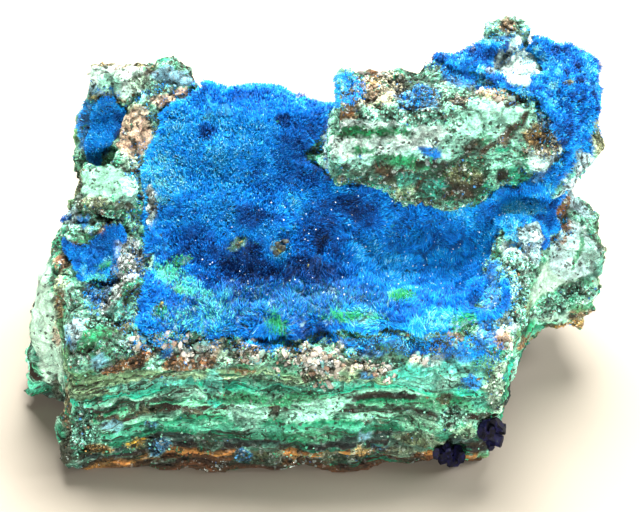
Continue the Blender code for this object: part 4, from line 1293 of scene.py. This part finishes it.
def velvet_material():
    """Needles coloured by their own two numbers: the tone, and how far along the needle, with painted shade
    toward the roots and painted light toward the tips.
    """
    material, tree, shader = new_material("velvet")
    own = tree.nodes.new("ShaderNodeUVMap")
    own.uv_map = "OFBake"
    parts = tree.nodes.new("ShaderNodeSeparateXYZ")
    tree.links.new(own.outputs[0], parts.inputs[0])
    tone, along = parts.outputs[:2]
    blue = ranged(tree, tone, 0.781, 0.784, 1.0, 0.0)
    # painted shade and light: each needle's tone drifts darker toward its root and lighter toward its tip,
    # and its root is darkened further by ROOT_SHADE
    root_shade_tip_light = times(tree, ranged(tree, along, 0.0, 1.0, -0.12, 0.07), blue)
    tip = ramp(tree, plus(tree, tone, root_shade_tip_light), TONES)
    root = ramp(tree, tone, [(t, *(c * ROOT_SHADE for c in rgb)) for t, *rgb in TONES])
    colour = mixed(tree, ranged(tree, along, 0.05, 0.85, 0.0, 1.0), root, tip)
    tree.links.new(colour, shader.inputs["Base Color"])
    tree.links.new(ranged(tree, along, 0.0, 1.0, 0.75, 0.4), shader.inputs["Roughness"])
    shader.inputs["Specular IOR Level"].default_value = 0.2
    add_bump(tree, shader, noise_node(tree, position(tree), 0.3), 0.02, 0.3)
    return material


def azurite_material():
    material, tree, shader = new_material("azurite")
    where = position(tree)
    patchy = noise_node(tree, where, 0.9, 5.0, 0.7, 0.5)
    colour = ramp(tree, ranged(tree, patchy, 0.3, 0.7, 0.0, 1.0), AZURITE)
    tree.links.new(colour, shader.inputs["Base Color"])
    tree.links.new(ranged(tree, patchy, 0.3, 0.7, 0.4, 0.7), shader.inputs["Roughness"])
    shader.inputs["Specular IOR Level"].default_value = 0.12
    add_bump(tree, shader, noise_node(tree, where, 0.4, 4.0), 0.12, 0.7)
    return material


def floor_material():
    material, tree, shader = new_material("pale_floor")
    grain = noise_node(tree, position(tree), 30.0, 4.0)
    tree.links.new(mixed(tree, grain, *FLOOR_COLOURS), shader.inputs["Base Color"])
    tree.links.new(ranged(tree, grain, 0.3, 0.7, 0.75, 0.9), shader.inputs["Roughness"])
    add_bump(tree, shader, noise_node(tree, position(tree), 1.5), 0.02, 0.2)
    return material


# ---------------------------------------------------------------- rock
def colour_rock(points, normals):
    """Tint and marks (beds, specks, grit, thin layers) for each point of the rock's surface."""
    at = wandered(points) + np.random.default_rng(23).normal(0.0, PATCH_GRAIN, points.shape)
    blotch = noise_at(points, 5.0, 3)[:, None]
    tint = np.array(to_linear(*ROCK_TINT)) * (1 + 0.35 * blotch)
    teal = smooth(0.05, 0.4, noise_at(points, 3.5, 4))[:, None]
    tint = tint * (1 - teal) + np.array(to_linear(*ROCK_TEAL)) * teal
    steep = 1 - smooth(0.6, 0.85, np.abs(normals[:, 2]))
    low = 1 - smooth(*BEDS_TOP, points[:, 2] + 1.5 * blotch[:, 0])
    low = np.maximum(low, smooth(*BACK, points[:, 1]) * (1 - smooth(*BACK_TOP, points[:, 2])))
    beds = np.maximum(steep * low, 1 - smooth(*FOOT_TOP, points[:, 2]))
    ledge = smooth(*LEDGE_FOOT, points[:, 2]) * (1 - smooth(*LEDGE_BACK, points[:, 1]))
    layers = np.maximum(beds, 0.6 * steep * ledge)
    specks = 0.6 - 0.35 * beds
    grit = 0.5 - 0.25 * beds
    for _, middle, width, height, turn, colour, cover in rock_patches:
        *rgb, speck, gritty = COLOURS[colour]
        share = cover * patch_cover(at, middle, width, height, turn)
        column = share[:, None]
        tint = tint * (1 - column) + np.array(to_linear(*rgb)) * column
        beds *= 1 - share
        layers *= 1 - max(0.7 * gritty, 1 - 3 * speck) * share
        specks = specks * (1 - share) + speck * share
        grit = grit * (1 - share) + gritty * share
    beds = np.maximum(beds, 1 - smooth(*FOOT_BAND_TOP, points[:, 2] + blotch[:, 0]))
    return np.clip(tint, 0, 1), np.stack((beds, specks, grit, layers), axis=1)


def crack_lines(points):
    """How dark the painted shade in the cracks is, and how deep the cracks are, at each point."""
    dark = np.zeros(len(points))
    deep = np.zeros(len(points))
    for n, (size, width, depth) in enumerate(CRACKS):
        line = 1 - smooth(0.0, width, np.abs(noise_at(points, size, 25 + n)))
        dark = np.maximum(dark, line)
        deep += depth * line
    return dark, deep


def bed_of(points):
    """How high each point lies among the beds, which roll and dip."""
    rise = np.interp(points[:, 0], *np.array(BED_RISE, float).T)
    return points[:, 2] - rise + 0.9 * noise_at(points, 6.0, 20) + 0.3 * noise_at(points, 1.8, 22)


def roughen(points, normals, marks):
    """The weathered relief of the rock: grains, and small ledges where the beds show."""
    move = np.zeros(len(points))
    for n, (size, reach) in enumerate(SKIN_ROUGHNESS):
        move += reach * noise_at(points, size, 11 + n)
    move *= (0.25 + 0.95 * marks[:, 2]) * (1 - 0.35 * marks[:, 3])
    move -= crack_lines(points)[1] * (0.15 + 0.85 * marks[:, 2])
    step = np.abs(((bed_of(points) / BED_STEP) % 1.0) * 2 - 1) - 0.5
    move += BED_RELIEF * marks[:, 0] * step * (0.6 + noise_at(points, 5.0, 21))
    move *= smooth(0.0, 1.2, points[:, 2])
    out = points + normals * move[:, None]
    out[:, 2] = np.maximum(out[:, 2], 0.0)
    return out, move


def bed_marks(points, marks, move):
    """The bed each point lies in, how dark the painted shade in a crack is there, and how high the relief
    stands, which the material turns into painted shade in hollows and painted light on rises.
    """
    dark = crack_lines(points)[0] * (0.3 + 0.7 * marks[:, 2]) * (1 - 0.6 * marks[:, 3])
    return np.stack((bed_of(points) / BED_SPAN, dark, smooth(-1.1, 0.5, move)), axis=1)


def dress(mesh, points, relief, tint, marks, material):
    """Moves the mesh's points out to the relief and gives them what the rock's material reads."""
    rough, move = relief
    put_places(mesh, rough)
    add_colours(mesh, "tint", tint)
    add_colours(mesh, "marks", marks)
    add_colours(mesh, "beds", bed_marks(points, marks, move))
    mesh.materials.clear()
    mesh.materials.append(material)


def build_rock():
    rock = merged_copy("matrix", "rock")
    remesh(rock, SKIN_VOXEL)
    points, normals = places(rock.data), facings(rock.data)
    tint, marks = colour_rock(points, normals)
    dress(rock.data, points, roughen(points, normals, marks), tint, marks, rock_material())
    return rock, tint, marks


def build_grains(rock, tint, marks):
    """Small crystals strewn over the granular parts of the rock."""
    rng = np.random.default_rng(5)
    weight = marks[:, 2] ** 2 * smooth(1.0, 2.5, places(rock.data)[:, 2])
    spots, facing, corner = spread_over(rock.data, weight, GRAINS, rng)
    size = mostly_small(GRAIN_SIZES, GRAINS, rng)
    stretch = rng.uniform(0.55, 1.25, (GRAINS, 3))
    axes = random_axes(GRAINS, rng) * (size[:, None] * stretch)[:, :, None]
    spots = spots + facing * (size * 0.1)[:, None]
    own = tint[corner] * rng.uniform(0.45, 1.15, (GRAINS, 1))
    kind = rng.random(GRAINS)
    for low, high, rgb in GRAIN_KINDS:
        own[(kind > low) & (kind < high)] = to_linear(*rgb)
    return tinted_copies("grains", grain_shape(), spots, axes, own, grain_material())


def crystal_shape():
    """A blunt, uneven crystal."""
    work = bmesh.new()
    rng = np.random.default_rng(4)
    for p in rng.normal(size=(14, 3)):
        work.verts.new(Vector(p).normalized() * 0.5)
    bmesh.ops.convex_hull(work, input=work.verts)
    return shape_of(work)


def build_crystals(rock):
    """Blocky pale crystals crowded along the front lip and on the nodules of the ledge's crest and the mound.
    """
    rng = np.random.default_rng(9)
    at = wandered(places(rock.data), 13)
    weight = np.zeros(len(at))
    for name, middle, width, height, turn, colour, _ in rock_patches:
        if name.startswith(("nodule", "lip grain row")) and colour != "dark":
            weight = np.maximum(weight, patch_cover(at, middle, width * 1.1, height * 1.1, turn))
    spots, facing, _ = spread_over(rock.data, weight, CRYSTALS, rng)
    size = mostly_small(CRYSTAL_SIZES, CRYSTALS, rng)
    axes = uneven_axes(size, 0.6, 1.1, rng)
    spots = spots - facing * (size * 0.12)[:, None]
    tints = 0.8 * np.array([to_linear(*rgb) for rgb in CRYSTAL_TINTS])
    own = tints[rng.integers(0, len(tints), CRYSTALS)]
    return tinted_copies("lip_crystals", crystal_shape(), spots, axes, own, grain_material())


# ---------------------------------------------------------------- velvet
def velvet_tone(points, rng):
    """The tone of the needles at each point. A patch of greens takes single needles, a patch of blues all."""
    at = wandered(points, 7)
    tone = 0.38 + 0.16 * noise_at(points, 4.0, 31) + 0.16 * noise_at(points, 1.7, 32)
    for _, middle, width, height, turn, own, cover in velvet_tones:
        share = cover * patch_cover(at, middle, width, height, turn, SOFT)
        share = (share > rng.random(len(points))) * 1.0 if own > GREEN_FROM else share
        tone = tone * (1 - share) + own * share
    high = smooth(32.0, 36.0, points[:, 2]) * smooth(*MOUND_SIDE, points[:, 0])
    mixed_tone = tone + (0.14 + 0.32 * high) * noise_at(points, 1.1, 33) + 0.12 * noise_at(points, 7.0, 34)
    return np.where(tone > GREEN_FROM, tone, np.minimum(mixed_tone, BLUE_TO))


def tone_colours(tone):
    """The colour of each tone."""
    at, *parts = np.array([(t, *to_linear(*rgb)) for t, *rgb in TONES]).T
    return np.stack([np.interp(tone, at, part) for part in parts], axis=1)


def tuft_middles(points, spacing, rng):
    """Which of the points stand at least their own spacing apart."""
    chosen = []
    grid = {}
    for n in rng.permutation(len(points)):
        x, y, z = (points[n] // TUFT_CELL).astype(int)
        around = [grid.get((x + i, y + j, z + k), ()) for i in STEPS for j in STEPS for k in STEPS]
        near = [m for cell in around for m in cell]
        if all(np.sum((points[m] - points[n]) ** 2) >= spacing[n] ** 2 for m in near):
            grid.setdefault((x, y, z), []).append(n)
            chosen.append(n)
    return np.array(chosen)


def needles_at(name, spots, facing, reach, spacing, tone, rng, material):
    """Needles whose tips end near the spots, fanned out in tufts."""
    count = len(spots)
    chosen = tuft_middles(spots[: count // 4], spacing[: count // 4], rng)
    tree = points_tree(spots[chosen])
    middle = chosen[np.array([tree.find(p)[1] for p in spots.tolist()])]
    gap = spacing[middle]
    lean = rng.uniform(*TUFT_LEAN, count)[middle] * gap * (1 + 2.5 * (1 - smooth(*SMALL_TUFT, gap)))
    side = rng.normal(0.0, 0.3, (count, 3))[middle] * gap[:, None]
    origin = spots[middle] - facing[middle] * lean[:, None] + side
    way = spots - origin
    far = np.linalg.norm(spots - spots[middle], axis=1)
    way /= np.linalg.norm(way, axis=1, keepdims=True) + 1e-9
    way += facing * 0.3 + rng.normal(0.0, NEEDLE_STRAY, (count, 3))
    way /= np.linalg.norm(way, axis=1, keepdims=True)
    edge = np.clip(far / gap, 0, 1)
    length = reach * rng.uniform(*NEEDLE_LENGTHS, count)
    swell = (0.2 - 0.3 * edge ** 2) * np.minimum(gap * 0.3, 0.6)
    tips = spots + facing * (swell + rng.uniform(*NEEDLE_LIFT, count))[:, None]
    roots = tips - way * length[:, None]
    across = np.cross(way, rng.normal(size=(count, 3)))
    across /= np.linalg.norm(across, axis=1, keepdims=True)
    other = np.cross(way, across)
    width = (NEEDLE_WIDTH * rng.uniform(*NEEDLE_WIDTHS, count))[:, None]
    axes = np.stack((across * width, other * width, way * length[:, None]), axis=1)
    shape = needle_shape()
    needles = joined(name, shape, roots, axes)
    stray = rng.normal(0, 0.09, count) + 0.16 * (rng.random(count) < 0.06)
    green = tone > GREEN_FROM
    # painted shade and light: needles toward a tuft's edge take a darker tone and those near its middle a
    # lighter one
    own = np.where(green, tone + rng.normal(0, 0.004, count), tone + 0.08 * (0.5 - edge) + stray)
    own = np.clip(own, np.where(green, GREEN_FROM, 0.01), np.where(green, 0.99, BLUE_TO))
    index = np.empty(len(needles.data.loops), np.int32)
    needles.data.loops.foreach_get("vertex_index", index)
    each = len(shape[0])
    uv = np.stack((own[index // each], 0.02 + 0.96 * shape[0][index % each, 2]), axis=1)
    layer = needles.data.uv_layers.new(name="OFBake")
    layer.uv.foreach_set("vector", uv.astype(np.float32).ravel())
    needles.data.materials.append(material)
    return needles


def bare_share(points):
    at = wandered(points, 5)
    share = np.zeros(len(points))
    for _, middle, width, height, turn in bare_spots:
        share = np.maximum(share, patch_cover(at, middle, width, height, turn))
    return share


def build_crust(node, name, count, seed):
    """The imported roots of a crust, a little inside its outer face, and the needles that reach that face."""
    rng = np.random.default_rng(seed)
    core = merged_copy(node, name + "_roots")
    remesh(core, CORE_VOXEL)
    mesh = core.data
    points, normals = places(mesh), facings(mesh)
    outer = np.ones(len(points))
    for n, (p, d) in enumerate(zip(points.tolist(), normals.tolist())):
        start = Vector(p) + Vector(d) * 0.02
        if rock_tree.ray_cast(start, Vector(d), ROCK_NEAR)[0] is not None:
            outer[n] = 0.0
    bare = bare_share(points)
    spots, facing, _ = spread_over(mesh, outer * (1 - smooth(0.3, 0.7, bare)), count, rng)
    own = velvet_tone(spots, rng)
    long_side = smooth(*LONG_SIDE, 0.8 * spots[:, 0] - spots[:, 1] - 10 + 4 * noise_at(spots, 6.0, 40))
    high = smooth(*MOUND_FOOT, spots[:, 2] - 0.35 * spots[:, 1]) * smooth(*MOUND_SIDE, spots[:, 0])
    walls = np.maximum(smooth(*RIGHT_WALL, spots[:, 0]), smooth(*LEFT_WALL, spots[:, 0]))
    short = np.maximum(high, walls)
    reach = (1.25 + 1.0 * long_side) * (1 - 0.62 * short)
    spacing = (1.3 + 1.4 * long_side) * (1 - 0.5 * short)
    pieces = [core]
    parts = math.ceil(count / NEEDLES_IN_A_PIECE)
    order = np.argsort(spots[:, 0], kind="stable")
    for k, some in enumerate(np.array_split(order, parts)):
        some = rng.permutation(some)
        each = (part[some] for part in (spots, facing, reach, spacing, own))
        pieces.append(needles_at(f"{name}_needles_{k + 1}", *each, rng, velvet))
    tint, marks = colour_rock(points, normals)
    roots = CORE_SHADE * tone_colours(np.minimum(velvet_tone(points, rng), GREEN_FROM - 0.01))
    tint = roots + (tint - roots) * bare[:, None]
    marks *= bare[:, None]
    depth = CORE_DEPTH * outer * (0.8 + 0.5 * noise_at(points, 1.4, 41)) * (1 - bare)
    relief = roughen(points - normals * depth[:, None], normals, marks * bare[:, None])
    dress(mesh, points, relief, tint, marks, rock.data.materials[0])
    return pieces


def build_sparkles(core, material):
    """Tiny bright crystals caught among the needles of the hollow."""
    rng = np.random.default_rng(21)
    points = places(core.data)
    deep = smooth(0.1, 0.6, patch_cover(points, *SPARKLE_FIELD))
    spots, facing, _ = spread_over(core.data, deep, SPARKLES, rng)
    size = rng.uniform(*SPARKLE_SIZES, SPARKLES)
    axes = uneven_axes(size, 0.6, 1.4, rng)
    own = np.array(to_linear(*SPARKLE_TINT)) * rng.uniform(0.7, 1.0, (SPARKLES, 1))
    return tinted_copies("sparkles", grain_shape(), spots + facing * (CORE_DEPTH + 0.1), axes, own, material)


def build_inclusions(core, material):
    """Small dark crystals that stand out of the needles."""
    rng = np.random.default_rng(22)
    tree = points_tree(places(core.data))
    facing = facings(core.data)
    spots, sizes = [], []
    for middle, across, count in INCLUSIONS:
        _, nearest, _ = tree.find(middle)
        for _ in range(count):
            spots.append(np.array(middle) + rng.normal(0, 0.3 * across, 3) + facing[nearest] * 0.7)
            sizes.append(across * rng.uniform(0.4, 0.9))
    sizes = np.array(sizes)
    axes = uneven_axes(sizes, 0.6, 1.1, rng)
    own = np.array([to_linear(*rgb) for rgb in INCLUSION_TINTS])
    own = own[rng.choice(len(own), len(sizes), p=INCLUSION_SHARES)]
    return tinted_copies("inclusions", crystal_shape(), np.array(spots), axes, own, material)


def build_fur(core):
    """Short fibres that grow on the rock itself, in named spots and all round the crust."""
    rng = np.random.default_rng(17)
    points = places(rock.data)
    at = wandered(points, 3)
    weight = np.zeros(len(points))
    for name, middle, width, height, turn in fur_spots:
        share = patch_cover(at, middle, width, height, turn)
        weight = np.maximum(weight, 2.5 * share if name.startswith(DENSE_FUR) else share)
    tree = points_tree(places(core.data))
    far = np.array([tree.find(p)[2] for p in at.tolist()])
    weight = np.maximum(weight, 0.45 * (1 - smooth(0.6, 2.8, far + noise_at(points, 2.0, 51))))
    spots, facing, corner = spread_over(rock.data, weight, FUR_FIBRES, rng)
    tone = velvet_tone(spots, rng)
    reach = 0.8 + 0.5 * smooth(0.9, 1.6, weight[corner])
    spots = spots + facing * FUR_LIFT
    spacing = np.full(FUR_FIBRES, FUR_SPACING)
    return needles_at("fur_on_rock", spots, facing, reach, spacing, tone + 0.05, rng, velvet)


def build_azurite(node, name, material):
    crystals = merged_copy(node, name)
    crystals.data.materials.clear()
    crystals.data.materials.append(material)
    return crystals


# ---------------------------------------------------------------- stage
def look_at(thing, spot):
    thing.rotation_euler = (Vector(spot) * MM - thing.location).to_track_quat("-Z", "Y").to_euler()


def add_camera():
    data = bpy.data.cameras.new("camera")
    data.sensor_width = SENSOR
    data.lens = LENS
    data.clip_start = 0.01
    camera = in_scene("camera", data)
    camera.location = EYE * MM
    look_at(camera, VIEW_TARGET)
    bpy.context.scene.camera = camera


def add_light(name, kind, spot, aim, watts, colour):
    data = bpy.data.lights.new(name, kind)
    data.energy = watts
    data.color = colour
    light = in_scene(name, data)
    light.location = Vector(spot) * MM
    look_at(light, aim)
    return data


def add_lights():
    for name, spot, size, watts, colour in LIGHTS:
        broad = add_light(name, "AREA", spot, LIGHTS_AIM, watts, colour)
        broad.shape = "DISK"
        broad.size = size * MM
    small = add_light("hollow_light", "SPOT", HOLLOW_LIGHT_PLACE, HOLLOW_LIGHT_AIM, HOLLOW_LIGHT_WATTS, COOL)
    small.spot_size = math.radians(HOLLOW_LIGHT_CONE)
    small.spot_blend = 1.0
    small.shadow_soft_size = HOLLOW_LIGHT_SIZE * MM


def add_stage():
    work = bmesh.new()
    bmesh.ops.create_grid(work, x_segments=8, y_segments=8, size=FLOOR_HALF)
    mesh = bpy.data.meshes.new("floor")
    work.to_mesh(mesh)
    work.free()
    floor = in_scene("floor", mesh)
    floor.data.materials.append(floor_material())
    world = bpy.data.worlds.new("studio")
    bpy.context.scene.world = world
    world.use_nodes = True
    sky = world.node_tree.nodes["Background"]
    sky.inputs["Color"].default_value = SKY_COLOUR
    sky.inputs["Strength"].default_value = SKY_STRENGTH
    add_lights()
    bpy.context.scene.view_settings.view_transform = "Standard"


# ---------------------------------------------------------------- build
whole = solid_tree(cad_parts)
rock_patches = placed(ROCK_PATCHES, whole)
velvet_tones = placed(VELVET_TONES, whole)
bare_spots = placed(BARE_SPOTS, whole)
fur_spots = placed(FUR_SPOTS, solid_tree(["matrix"]))
rock, tint, marks = build_rock()
grains = build_grains(rock, tint, marks)
crystals = build_crystals(rock)
rock_tree = faces_tree(rock.data)
velvet = velvet_material()
pieces = {node: build_crust(node, name, count, seed) for node, name, count, seed in CRUSTS}
main_core = pieces["cyanotrichite_crust"][0]
grain_look = grains.data.materials[0]
strewn = (build_sparkles(main_core, grain_look), build_inclusions(main_core, grain_look))
fur = build_fur(main_core)
azurite = azurite_material()
for node, group in pieces.items():
    for piece in group:
        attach(piece, "root")
        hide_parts(node)
for piece in strewn:
    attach(piece, "root")
    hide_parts("cyanotrichite_crust")
for piece in (rock, grains, crystals):
    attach(piece, "root")
    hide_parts("matrix")
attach(fur, "root")
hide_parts("matrix")
for node in ("azurite_low", "azurite_side"):
    cluster = build_azurite(node, node + "_crystals", azurite)
    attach(cluster, "root")
    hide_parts(node)

add_camera()
add_stage()
